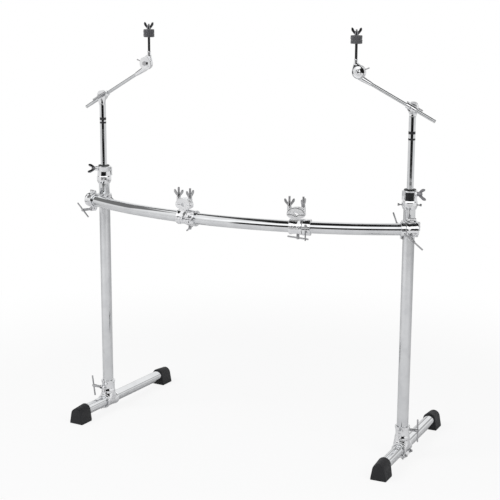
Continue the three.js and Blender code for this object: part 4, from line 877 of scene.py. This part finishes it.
# Holder clamps: a jaw on the bar carries the lower of two notched grips, which close on a holder rod laid
# between them. Two studs run up through the upper grip, and a wing nut on each pulls it down.
HOLDER_SCREW_TILTS = {"left": -70, "right": -23}
WING_TURNS = {"left": 8, "right": 14}
REAR_WING_TURN = 78.0
GRIP_HALF_WIDTH, GRIP_DEPTH, GRIP_SPLIT = 30.0, 21.0, 41.0
LOWER_DEPTH, UPPER_RISE, GRIP_GAP = 16.0, 22.0, 1.2
STUD_SPACING, STUD_RADIUS, STUD_TOP = 45.0, 3.7, 98.0
BOSS_RADIUS, BOSS_RISE = 7.4, 24.0


def grip(rise, sense):
    """Half an ellipse, GRIP_HALF_WIDTH wide and rise high, carried across the grip's depth."""
    a = np.radians(np.linspace(0, 180, 61))
    outline = np.stack([GRIP_HALF_WIDTH * np.cos(a), rise * np.sin(a)], axis=1)
    shell = put(slab(outline, -GRIP_DEPTH / 2, GRIP_DEPTH / 2), turn("X", 90))
    return shell if sense > 0 else put(shell, turn("X", 180))


def grip_notch(sense):
    """The V of the notch, the full depth across, with its point 4.6 mm into the grip."""
    outline = np.array([(-8.5, 0), (-8.5, -5), (8.5, -5), (8.5, 0), (0, 4.6)])
    shell = put(slab(outline, -GRIP_DEPTH, GRIP_DEPTH), turn("X", 90))
    return shell if sense > 0 else put(shell, turn("X", 180))


holder_jaw = axes((0, -1, 0), (0, 0, 1))
lift = move(0, 0, GRIP_SPLIT)
holder_bores = jaw_bores(HOLDER_JAW_WIDTH)
holder_casting = fused(
    "holder_casting",
    [
        *(put(shell, holder_jaw) for shell in jaw_body(HOLDER_JAW_WIDTH)),
        box((-13, 13), (-GRIP_DEPTH / 2, GRIP_DEPTH / 2), (10, GRIP_SPLIT - LOWER_DEPTH / 2)),
        put(grip(LOWER_DEPTH, -1), lift),
    ],
    [*(put(tool, holder_jaw) for tool in holder_bores), put(grip_notch(-1), lift)],
    CAST_NET,
)
stud_places = (-STUD_SPACING / 2, STUD_SPACING / 2)
upper_grip = fused(
    "upper_grip",
    [grip(UPPER_RISE, 1), *(put(rod(BOSS_RADIUS, 7, BOSS_RISE, 0.6), move(x, 0, 0)) for x in stud_places)],
    [grip_notch(1), *(put(rod(STUD_RADIUS + 0.4, -5, 40, 0), move(x, 0, 0)) for x in stud_places)],
    CAST_NET,
)
holder_cap = jaw_cap("holder_cap", HOLDER_JAW_WIDTH)
stud = mesh_of("stud", threaded(STUD_RADIUS, GRIP_SPLIT - 4.6, STUD_TOP, 1.25, 0.6))
stud_wing = wing_head("stud_wing", 34.0, 24.0, STUD_RADIUS + 0.25)
for side in SIDES:
    body = side + "_holder"
    place = on_bar(HOLDER_ANGLES[side])
    add_piece(body + "_clamp_casting", holder_casting, place, body, cast_chrome, body + "_clamp", crease=60)
    add_jaw(body + "_bar", place @ holder_jaw, holder_cap, HOLDER_SCREW_TILTS[side], body)
    grip_place = place @ move(0, 0, GRIP_SPLIT + GRIP_GAP)
    grip_name = body + "_upper_grip"
    add_piece(grip_name + "_casting", upper_grip, grip_place, grip_name, cast_chrome, grip_name, crease=60)
    for x, end_name in zip(stud_places, ("left", "right")):
        held = f"{body}_{end_name}"
        add_piece(held + "_stud", stud, place @ move(x, 0, 0), body, screw_plate, slot=body + "_clamp")
        nut = held + "_wing_nut"
        spin = turn("Z", WING_TURNS[side] if x < 0 else REAR_WING_TURN)
        nut_place = grip_place @ move(x, 0, BOSS_RISE + FIT) @ spin
        add_piece(nut + "_cast", stud_wing, nut_place, nut, screw_plate, nut, crease=60)

# Boom tubes: 22 mm chromed tube that slides in the boom clamp. A cast neck with one flat ear is pressed into
# its top end, above a fine seam, and two plain black bands lie on the tube below it.
HUB_HEIGHTS = {"left": 1147.0, "right": 1162.0}
TUBE_TURNS = {"left": 180, "right": 0}
BOOM_LENGTH, BOOM_WALL = 560.0, 1.6
HUB_RADIUS, EAR_THICKNESS, NECK_DROP, CLAMP_SWEEP = 17.5, 8.6, 30.0, 21.2
BANDS = {"left": ((-85.5, -76.5), (-97.5, -91.5)), "right": ((-84.5, -75.5), (-103.5, -97.5))}

black_lacquer = moulded(
    "black_lacquer", (0.014, 0.014, 0.016, 1), (0.03, 0.03, 0.032, 1),
    smooth=0.28, rough=0.46, scale=2200.0, bump=0.08,
)


def drop_outline(big, small, distance, degrees):
    """The outline of two circles and the lines that touch both, the small one at a distance and direction."""
    lean = math.degrees(math.acos((big - small) / distance))
    tip = (distance * math.cos(math.radians(degrees)), distance * math.sin(math.radians(degrees)))
    return np.concatenate([
        arc(big, degrees + lean, degrees - lean + 360, 65),
        arc(small, degrees - lean, degrees + lean, 33, tip),
    ])


neck = [(0, -36), (8.9, -36), (8.9, -29.4), (BOOM_RADIUS, -28.6), (8.6, -8.75), (0, -8.75)]
flat = axes((1, 0, 0), (0, 0, 1))
ear_outline = drop_outline(HUB_RADIUS, BOOM_RADIUS - 0.6, NECK_DROP - 3, -90)
hub_hole = put(rod(3.4, -30, 30, 0, 32), turn("X", 90))
boom_ear = fused(
    "boom_ear",
    [spun(neck), put(slab(ear_outline, -EAR_THICKNESS, -0.15, 0.5), flat)],
    [
        put(rod(HUB_RADIUS + 0.6, -0.15, 25, 0), turn("X", 90)),
        put(rod(CLAMP_SWEEP, 4.5, 25, 0), turn("X", 90)),
        hub_hole,
    ],
    0.6,
)
boom_tube = mesh_of("boom_tube", pipe(BOOM_RADIUS, BOOM_RADIUS - BOOM_WALL, -BOOM_LENGTH, -NECK_DROP, 0.4))
hubs = {side: posts[side] @ move(0, 0, HUB_HEIGHTS[side]) @ turn("Z", TUBE_TURNS[side]) for side in SIDES}
for side in SIDES:
    body = side + "_boom_tube"
    add_piece(body + "_upright", boom_tube, hubs[side], body, tube_chrome, body)
    add_piece(side + "_boom_ear_casting", boom_ear, hubs[side], body, cast_chrome, slot=body, crease=60)
    for name, (low, high) in zip(("upper", "lower"), BANDS[side]):
        band = mesh_of(name + "_band", pipe(BOOM_RADIUS + 0.18, BOOM_RADIUS - 0.05, low, high, 0.08))
        add_piece(f"{side}_boom_{name}_band", band, hubs[side], body, black_lacquer, slot=body)

# Boom hubs: the turning half of each hub is a disc with a clamp across it for the boom rod. One screw with a
# cross bar goes through both halves and locks the tilt and the rod together.
BOOM_TILTS = {"left": 31.0, "right": 26.8}
ROD_RADIUS, ROD_OFFSET, ROD_CLAMP_RADIUS = 5.5, 15.0, 9.5

to_rod = move(0, -ROD_OFFSET, 0) @ turn("Y", 90)
hub_dish = [(0, 0.15), (HUB_RADIUS, 0.15), (HUB_RADIUS, 8.3), (16.2, 9.5), (14.2, 9.5), (7, 7.6), (0, 7.6)]
hub_clamp = fused(
    "hub_clamp",
    [
        put(spun(eased(hub_dish, 0.5)), turn("X", 90)),
        put(rod(ROD_CLAMP_RADIUS, -17, 18.5, 1.2), to_rod),
    ],
    [put(rod(ROD_RADIUS + 0.35, -40, 40, 0), to_rod), hub_hole, box((-40, 40), (-0.15, 30), (-40, 40))],
    0.6,
)
hub_screw = cross_bar_screw("hub_screw", ROD_RADIUS + 0.6 - ROD_OFFSET, EAR_THICKNESS + FIT, 22.0, 58.0)
tilted = {side: hubs[side] @ turn("Y", BOOM_TILTS[side]) for side in SIDES}
for side in SIDES:
    hub = side + "_boom_hub"
    add_piece(hub + "_clamp_casting", hub_clamp, tilted[side], hub, cast_chrome, hub + "_clamp", crease=60)
    screw = hub + "_t_screw"
    lay = tilted[side] @ turn("Y", 90) @ turn("X", 180)
    add_piece(screw + "_turned", hub_screw, lay, screw, screw_plate, screw)

# Boom rods: 11 mm ground and chromed rod with a turned groove and a bevel at its tail.
# The fixed half of the tilter is pressed on the other end.
TILTER_REACH, TILTER_RISE = 203.0, 13.0
TILTER_RADIUS, TILTER_THICKNESS = 22.0, 8.6
ROD_END, GROOVE_RADIUS = 88.0, 4.8

rod_chrome = plated(
    "rod_chrome", (0.70, 0.71, 0.72, 1), (0.60, 0.61, 0.62, 1),
    smooth=0.1, rough=0.26, wave=90.0, bump=0.12, lines=700.0,
)
tail = [
    (0, -TILTER_REACH), (ROD_RADIUS, -TILTER_REACH), (ROD_RADIUS, 79), (GROOVE_RADIUS, 79),
    (GROOVE_RADIUS, 82), (ROD_RADIUS, 82), (ROD_RADIUS, ROD_END - 1), (GROOVE_RADIUS, ROD_END), (0, ROD_END),
]
boom_rod = mesh_of("boom_rod", put(spun(eased(tail, 0.35), 64), turn("Y", 90)))
over = move(-TILTER_REACH, 0, TILTER_RISE)
socket = [(0, -209), (9, -209), (9, -181), (6.4, -147), (0, -147)]
tilter_ear = fused(
    "tilter_ear",
    [
        put(rod(TILTER_RADIUS, 0.15, TILTER_THICKNESS, 1.0, 96), over @ turn("X", -90)),
        put(spun(eased(socket, 1.5)), turn("Y", 90)),
    ],
    [
        put(rod(TILTER_RADIUS + 0.6, -44, 0.15, 0), over @ turn("X", -90)),
        put(rod(ROD_RADIUS - 0.3, -170, -100, 0), turn("Y", 90)),
    ],
    0.6,
)
rear_hexagon = [(0, 8.3), (8.5, 8.3), (8.5, 15.4), (0, 15.4)]
rear_nut = mesh_of("rear_nut", put(spun(eased(rear_hexagon, 0.8), 6), over @ turn("X", -90)))
stub = mesh_of(
    "tilter_stub", put(rod(2.0, 11, 36, 1.2, 32), over @ move(0, 4.3, 0) @ turn("Y", -50) @ turn("Y", 90))
)
rods = {side: tilted[side] @ move(0, -ROD_OFFSET, 0) for side in SIDES}
for side in SIDES:
    body = side + "_boom_rod"
    add_piece(body + "_turned", boom_rod, rods[side], body, rod_chrome, body)
    add_piece(side + "_tilter_fixed_half", tilter_ear, rods[side], body, cast_chrome, slot=body, crease=60)
    add_piece(side + "_tilter_nut", rear_nut, rods[side], body, screw_plate, slot=body)
    add_piece(side + "_tilter_stub", stub, rods[side], body, screw_plate, slot=body)

# Tilters: the turning half carries the cymbal rod upright. It is a cast disc with a raised rim and a boss,
# and the rod above it has a collar, a black nylon sleeve and a thread for the wing nut.
SEAT_OFFSET, SEAT_RISE = 9.0, 24.0
SLEEVE_RADIUS, FELT_BOTTOM, FELT_STACK = 4.2, 88.5, 26.0
THREAD_RADIUS, THREAD_TOP = 3.1, 133.0

seat_direction = math.degrees(math.atan2(SEAT_RISE, -SEAT_OFFSET))
seat_reach = math.hypot(SEAT_OFFSET, SEAT_RISE)
half_thick = TILTER_THICKNESS / 2
tilter_outline = drop_outline(TILTER_RADIUS - 0.3, 7.6, seat_reach, seat_direction)
seat = move(0, -(TILTER_THICKNESS + 0.3) / 2, 0)
stand = seat @ move(-SEAT_OFFSET, 0, 0)
collar = [(0, SEAT_RISE), (6.4, SEAT_RISE), (6.4, 38.8), (SLEEVE_RADIUS, 42), (0, 42)]
tilter_casting = fused(
    "tilter_casting",
    [
        put(slab(tilter_outline, -half_thick, half_thick, 0.8), seat @ flat),
        put(spun(eased([(0, 0), (8.5, 0), (8.5, 4.3), (4.3, 7.7), (0, 7.7)], 0.8)), seat @ turn("X", 90)),
        put(spun(eased(collar, 0.6)), stand),
    ],
    [],
    0.6,
)
groove = put(spun([(10.1, 4.1), (18.7, 2.0), (18.7, 8.6), (10.1, 8.6)], closed=True), seat @ turn("X", 90))
tilter_casting = fused("tilter_turned", [shell_of(tilter_casting)], [groove])
sleeve = mesh_of("sleeve", rod(SLEEVE_RADIUS, 41, FELT_BOTTOM + FELT_STACK, 0.5))
thread = mesh_of("cymbal_thread", threaded(THREAD_RADIUS, FELT_BOTTOM + FELT_STACK - 1, THREAD_TOP, 1.0, 0.5))
tilters = {side: rods[side] @ over @ turn("Y", -BOOM_TILTS[side]) for side in SIDES}
for side in SIDES:
    body = side + "_tilter_head"
    add_piece(body + "_casting", tilter_casting, tilters[side], body, cast_chrome, body, crease=60)
    add_piece(side + "_cymbal_sleeve", sleeve, tilters[side] @ stand, body, nylon, slot=body)
    add_piece(side + "_cymbal_thread", thread, tilters[side] @ stand, body, screw_plate, slot=body)

# Cymbal felts: two discs cut from pressed dark grey wool, which pad a cymbal above and below on the sleeve.
# A wing nut holds them down.
FELT_RADIUS, FELT_BORE, FELT_LOSS = 18.8, 4.8, 0.3
FELT_STILL_RADIUS, FELT_SWELL_REACH = 6.0, 8.0


def felt_disc(low, high):
    """A disc round the sleeve whose radius swells by a few tenths: R + 0.25 sin 5t + 0.2 sin(9t + 6z/h)."""
    height = high - low
    corners = [(FELT_BORE, 0), (FELT_RADIUS, 0), (FELT_RADIUS, height), (FELT_BORE, height)]
    edge = eased(corners, 2.4, 6, closed=True)
    share = np.linspace(0, 1, 7)[None, :, None]
    fine = (edge[:, None] * (1 - share) + np.roll(edge, -1, axis=0)[:, None] * share)[:, :-1].reshape(-1, 2)
    r, z = (column[:, None] for column in fine.T)
    t = np.linspace(0, 2 * np.pi, 120, endpoint=False)[None]
    outer = np.clip((r - FELT_STILL_RADIUS) / FELT_SWELL_REACH, 0, 1)
    radius = r + (0.25 * np.sin(5 * t + 1) + 0.2 * np.sin(9 * t + 6 * z / height)) * outer - FELT_LOSS
    sag = 0.15 * np.sin(3 * t + r / 4) * outer * (z / height - 0.5)
    level = np.clip(low + z + sag, low, high)
    return skin(np.stack([radius * np.cos(t), radius * np.sin(t), level], axis=-1), True)


felt, tree, shader = new_material("wool_felt")
shader.inputs["Roughness"].default_value = 0.95
shader.inputs["Sheen Weight"].default_value = 0.35
shader.inputs["Sheen Roughness"].default_value = 0.5
on_felt = add_node(tree, "ShaderNodeTexCoord").outputs["Object"]
flecks = add_node(tree, "ShaderNodeTexVoronoi", None, Vector=on_felt, Scale=330.0)
fibres = noise(tree, 520.0, 6.0, 0.8, 1.6)
wool = maths(tree, "MULTIPLY_ADD", flecks.outputs["Distance"], 0.5, fibres)
ramp = add_node(tree, "ShaderNodeValToRGB", None, Fac=wool)
dark, light = ramp.color_ramp.elements
dark.position, dark.color = 0.42, (0.008, 0.008, 0.01, 1)
light.position, light.color = 0.95, (0.1, 0.1, 0.108, 1)
link_looks(tree, shader, ramp.outputs["Color"], None, wool, 1.0, 1.2 * MM)

lower_felt = mesh_of("lower_felt", felt_disc(0, FELT_STACK / 2 - 0.1))
upper_felt = mesh_of("upper_felt", felt_disc(FELT_STACK / 2 + 0.1, FELT_STACK))
cymbal_wing = wing_head("cymbal_wing", 34.0, 24.0, THREAD_RADIUS + 0.25)
for side in SIDES:
    place = tilters[side] @ stand @ move(0, 0, FELT_BOTTOM)
    felts = side + "_cymbal_felts"
    add_piece(side + "_cymbal_lower_felt", lower_felt, place, felts, felt, felts)
    add_piece(side + "_cymbal_upper_felt", upper_felt, place @ turn("Z", 40), felts, felt, slot=felts)
    nut = side + "_cymbal_wing_nut"
    nut_place = place @ move(0, 0, FELT_STACK + FIT) @ turn("Z", WING_TURNS[side])
    add_piece(nut + "_cast", cymbal_wing, nut_place, nut, dark_plate, nut, crease=60)

# Studio: a pale round floor that fades into a white surround, a soft key lamp and a fill lamp. Only mirrors
# see the bright and dark zones above, in front and behind, which chrome needs around it to read as chrome.
CAMERA_PLACE = Vector((1.774996, -3.943193, 1.600400))
YAW, PITCH, ROLL = (math.radians(v) for v in (24.606, 12.587, 0.284))
SENSOR_WIDTH, PICTURE_WIDTH, FOCAL_PIXELS = 36, 500, 1287.7
FLOOR_RADIUS = 4.4
FADE_START, FADE_END, FADE_LEVEL = 0.9, 2.2, 0.87

floor_mesh = bpy.data.meshes.new("floor")
rim = arc(FLOOR_RADIUS, 0, 360, 97)[:-1]
floor_mesh.from_pydata([(x, y, 0) for x, y in rim], [], [list(range(len(rim)))])
floor = bpy.data.objects.new("floor", floor_mesh)
bpy.context.scene.collection.objects.link(floor)
floor_paint, tree, shader = new_material("floor_paint")
shader.inputs["Roughness"].default_value = 0.85
paint = mixed_colours(tree, noise(tree, 60.0, 4.0, 0.5), (0.60, 0.60, 0.605, 1), (0.66, 0.66, 0.665, 1))
tree.links.new(paint, shader.inputs["Base Color"])
white = add_node(tree, "ShaderNodeEmission", None, Color=(1, 1, 1, 1), Strength=1.0)
on_floor = add_node(tree, "ShaderNodeTexCoord").outputs["Object"]
distance = add_node(tree, "ShaderNodeVectorMath", {"operation": "LENGTH"}, _0=on_floor).outputs["Value"]
fade = ranged(tree, distance, FADE_START, FADE_END, FADE_LEVEL, 1.0)
seen = maths(tree, "MULTIPLY", add_node(tree, "ShaderNodeLightPath").outputs["Is Camera Ray"], fade)
blended = add_node(tree, "ShaderNodeMixShader", None, _0=seen, _1=shader.outputs[0], _2=white.outputs[0])
tree.links.new(blended.outputs[0], tree.nodes["Material Output"].inputs["Surface"])
floor_mesh.materials.append(floor_paint)

world = bpy.data.worlds.new("studio")
bpy.context.scene.world = world
world.use_nodes = True
tree = world.node_tree
background = tree.nodes["Background"]
direction = add_node(
    tree, "ShaderNodeMapping", None,
    Vector=add_node(tree, "ShaderNodeTexCoord").outputs["Generated"], Rotation=(0, 0, -YAW),
)
parts = add_node(tree, "ShaderNodeSeparateXYZ", None, _0=direction.outputs[0])
across, ahead, up = (parts.outputs[k] for k in "XYZ")
towards = maths(tree, "MULTIPLY", ahead, -1.0)


def product(first, second):
    """The product of two values."""
    return maths(tree, "MULTIPLY", first, second)


def zone(value, low, high, soft):
    """1 where the value lies between low and high, in degrees, easing to 0 over soft degrees outside them."""
    low, high, soft = (math.radians(angle) for angle in (low, high, soft))
    grow = ranged(tree, value, low - soft, low, 0.0, 1.0)
    return product(grow, ranged(tree, value, high, high + soft, 1.0, 0.0))


def mixed_values(share, first, second):
    """The first value where the share is 0 and the second where it is 1."""
    return add_node(tree, "ShaderNodeMix", {"data_type": "FLOAT"}, _0=share, _2=first, _3=second).outputs[0]


# Directions as seen from the rack: compass and rise from the camera's side, arch over the top from there to
# the back, and lean towards the camera's right
compass = maths(tree, "ARCTAN2", across, towards)
arch = maths(tree, "ARCTAN2", up, towards)
rise = maths(tree, "ARCSINE", up)
lean = maths(tree, "ARCSINE", across)
mirror_level = ranged(tree, rise, 0.0, math.radians(25), 0.78, 1.0, False)
for mask, tone in (
    (product(zone(arch, 26, 54, 6), zone(lean, -48, 60, 10)), 1.25),
    (product(zone(arch, 61, 116, 5), zone(lean, -22, 70, 4)), 0.015),
    (product(zone(arch, 122, 138, 4), zone(lean, -26, -6, 4)), 0.06),
    (product(product(zone(arch, 95, 165, 10), zone(lean, -80, -27, 5)), zone(rise, 18, 46, 7)), 0.2),
    (product(zone(compass, -37, 40, 3), zone(rise, -9.3, 4, 0.6)), 0.01),
    (product(zone(compass, -44, 22, 5), zone(rise, -7, 17, 3)), 0.01),
    (product(zone(compass, 100, 178, 6), zone(rise, 15, 20, 3)), 0.42),
):
    mirror_level = mixed_values(mask, mirror_level, tone)
rays = add_node(tree, "ShaderNodeLightPath").outputs
clear = maths(tree, "MAXIMUM", rays["Is Glossy Ray"], rays["Is Transmission Ray"])
level = mixed_values(rays["Is Camera Ray"], mixed_values(clear, 0.55, mirror_level), 1.0)
tree.links.new(level, background.inputs["Strength"])
background.inputs["Color"].default_value = (1, 1, 1, 1)

for name, place, size, power in (
    ("key_lamp", (-2.2, -2.6, 3.4), 2.4, 120),
    ("fill_lamp", (2.8, -1.6, 2.6), 2.0, 50),
):
    lamp = bpy.data.lights.new(name, "AREA")
    lamp.shape, lamp.size, lamp.energy = "SQUARE", size, power
    holder = bpy.data.objects.new(name, lamp)
    holder.location = place
    holder.rotation_euler = (Vector((0, 0, 0.6)) - Vector(place)).to_track_quat("-Z", "Y").to_euler()
    holder.visible_glossy = False
    bpy.context.scene.collection.objects.link(holder)

forward = Vector((-math.sin(YAW) * math.cos(PITCH), math.cos(YAW) * math.cos(PITCH), -math.sin(PITCH)))
level_right = Vector((math.cos(YAW), math.sin(YAW), 0))
level_up = level_right.cross(forward)
right = level_right * math.cos(ROLL) + level_up * math.sin(ROLL)
upright = level_up * math.cos(ROLL) - level_right * math.sin(ROLL)
camera_data = bpy.data.cameras.new("camera")
camera_data.lens = FOCAL_PIXELS * SENSOR_WIDTH / PICTURE_WIDTH
camera_data.sensor_width = SENSOR_WIDTH
camera = bpy.data.objects.new("camera", camera_data)
aim = Matrix((right, upright, -forward)).transposed().to_4x4()
camera.matrix_world = Matrix.Translation(CAMERA_PLACE) @ aim
bpy.context.scene.collection.objects.link(camera)
bpy.context.scene.camera = camera
bpy.context.scene.view_settings.view_transform = "Standard"
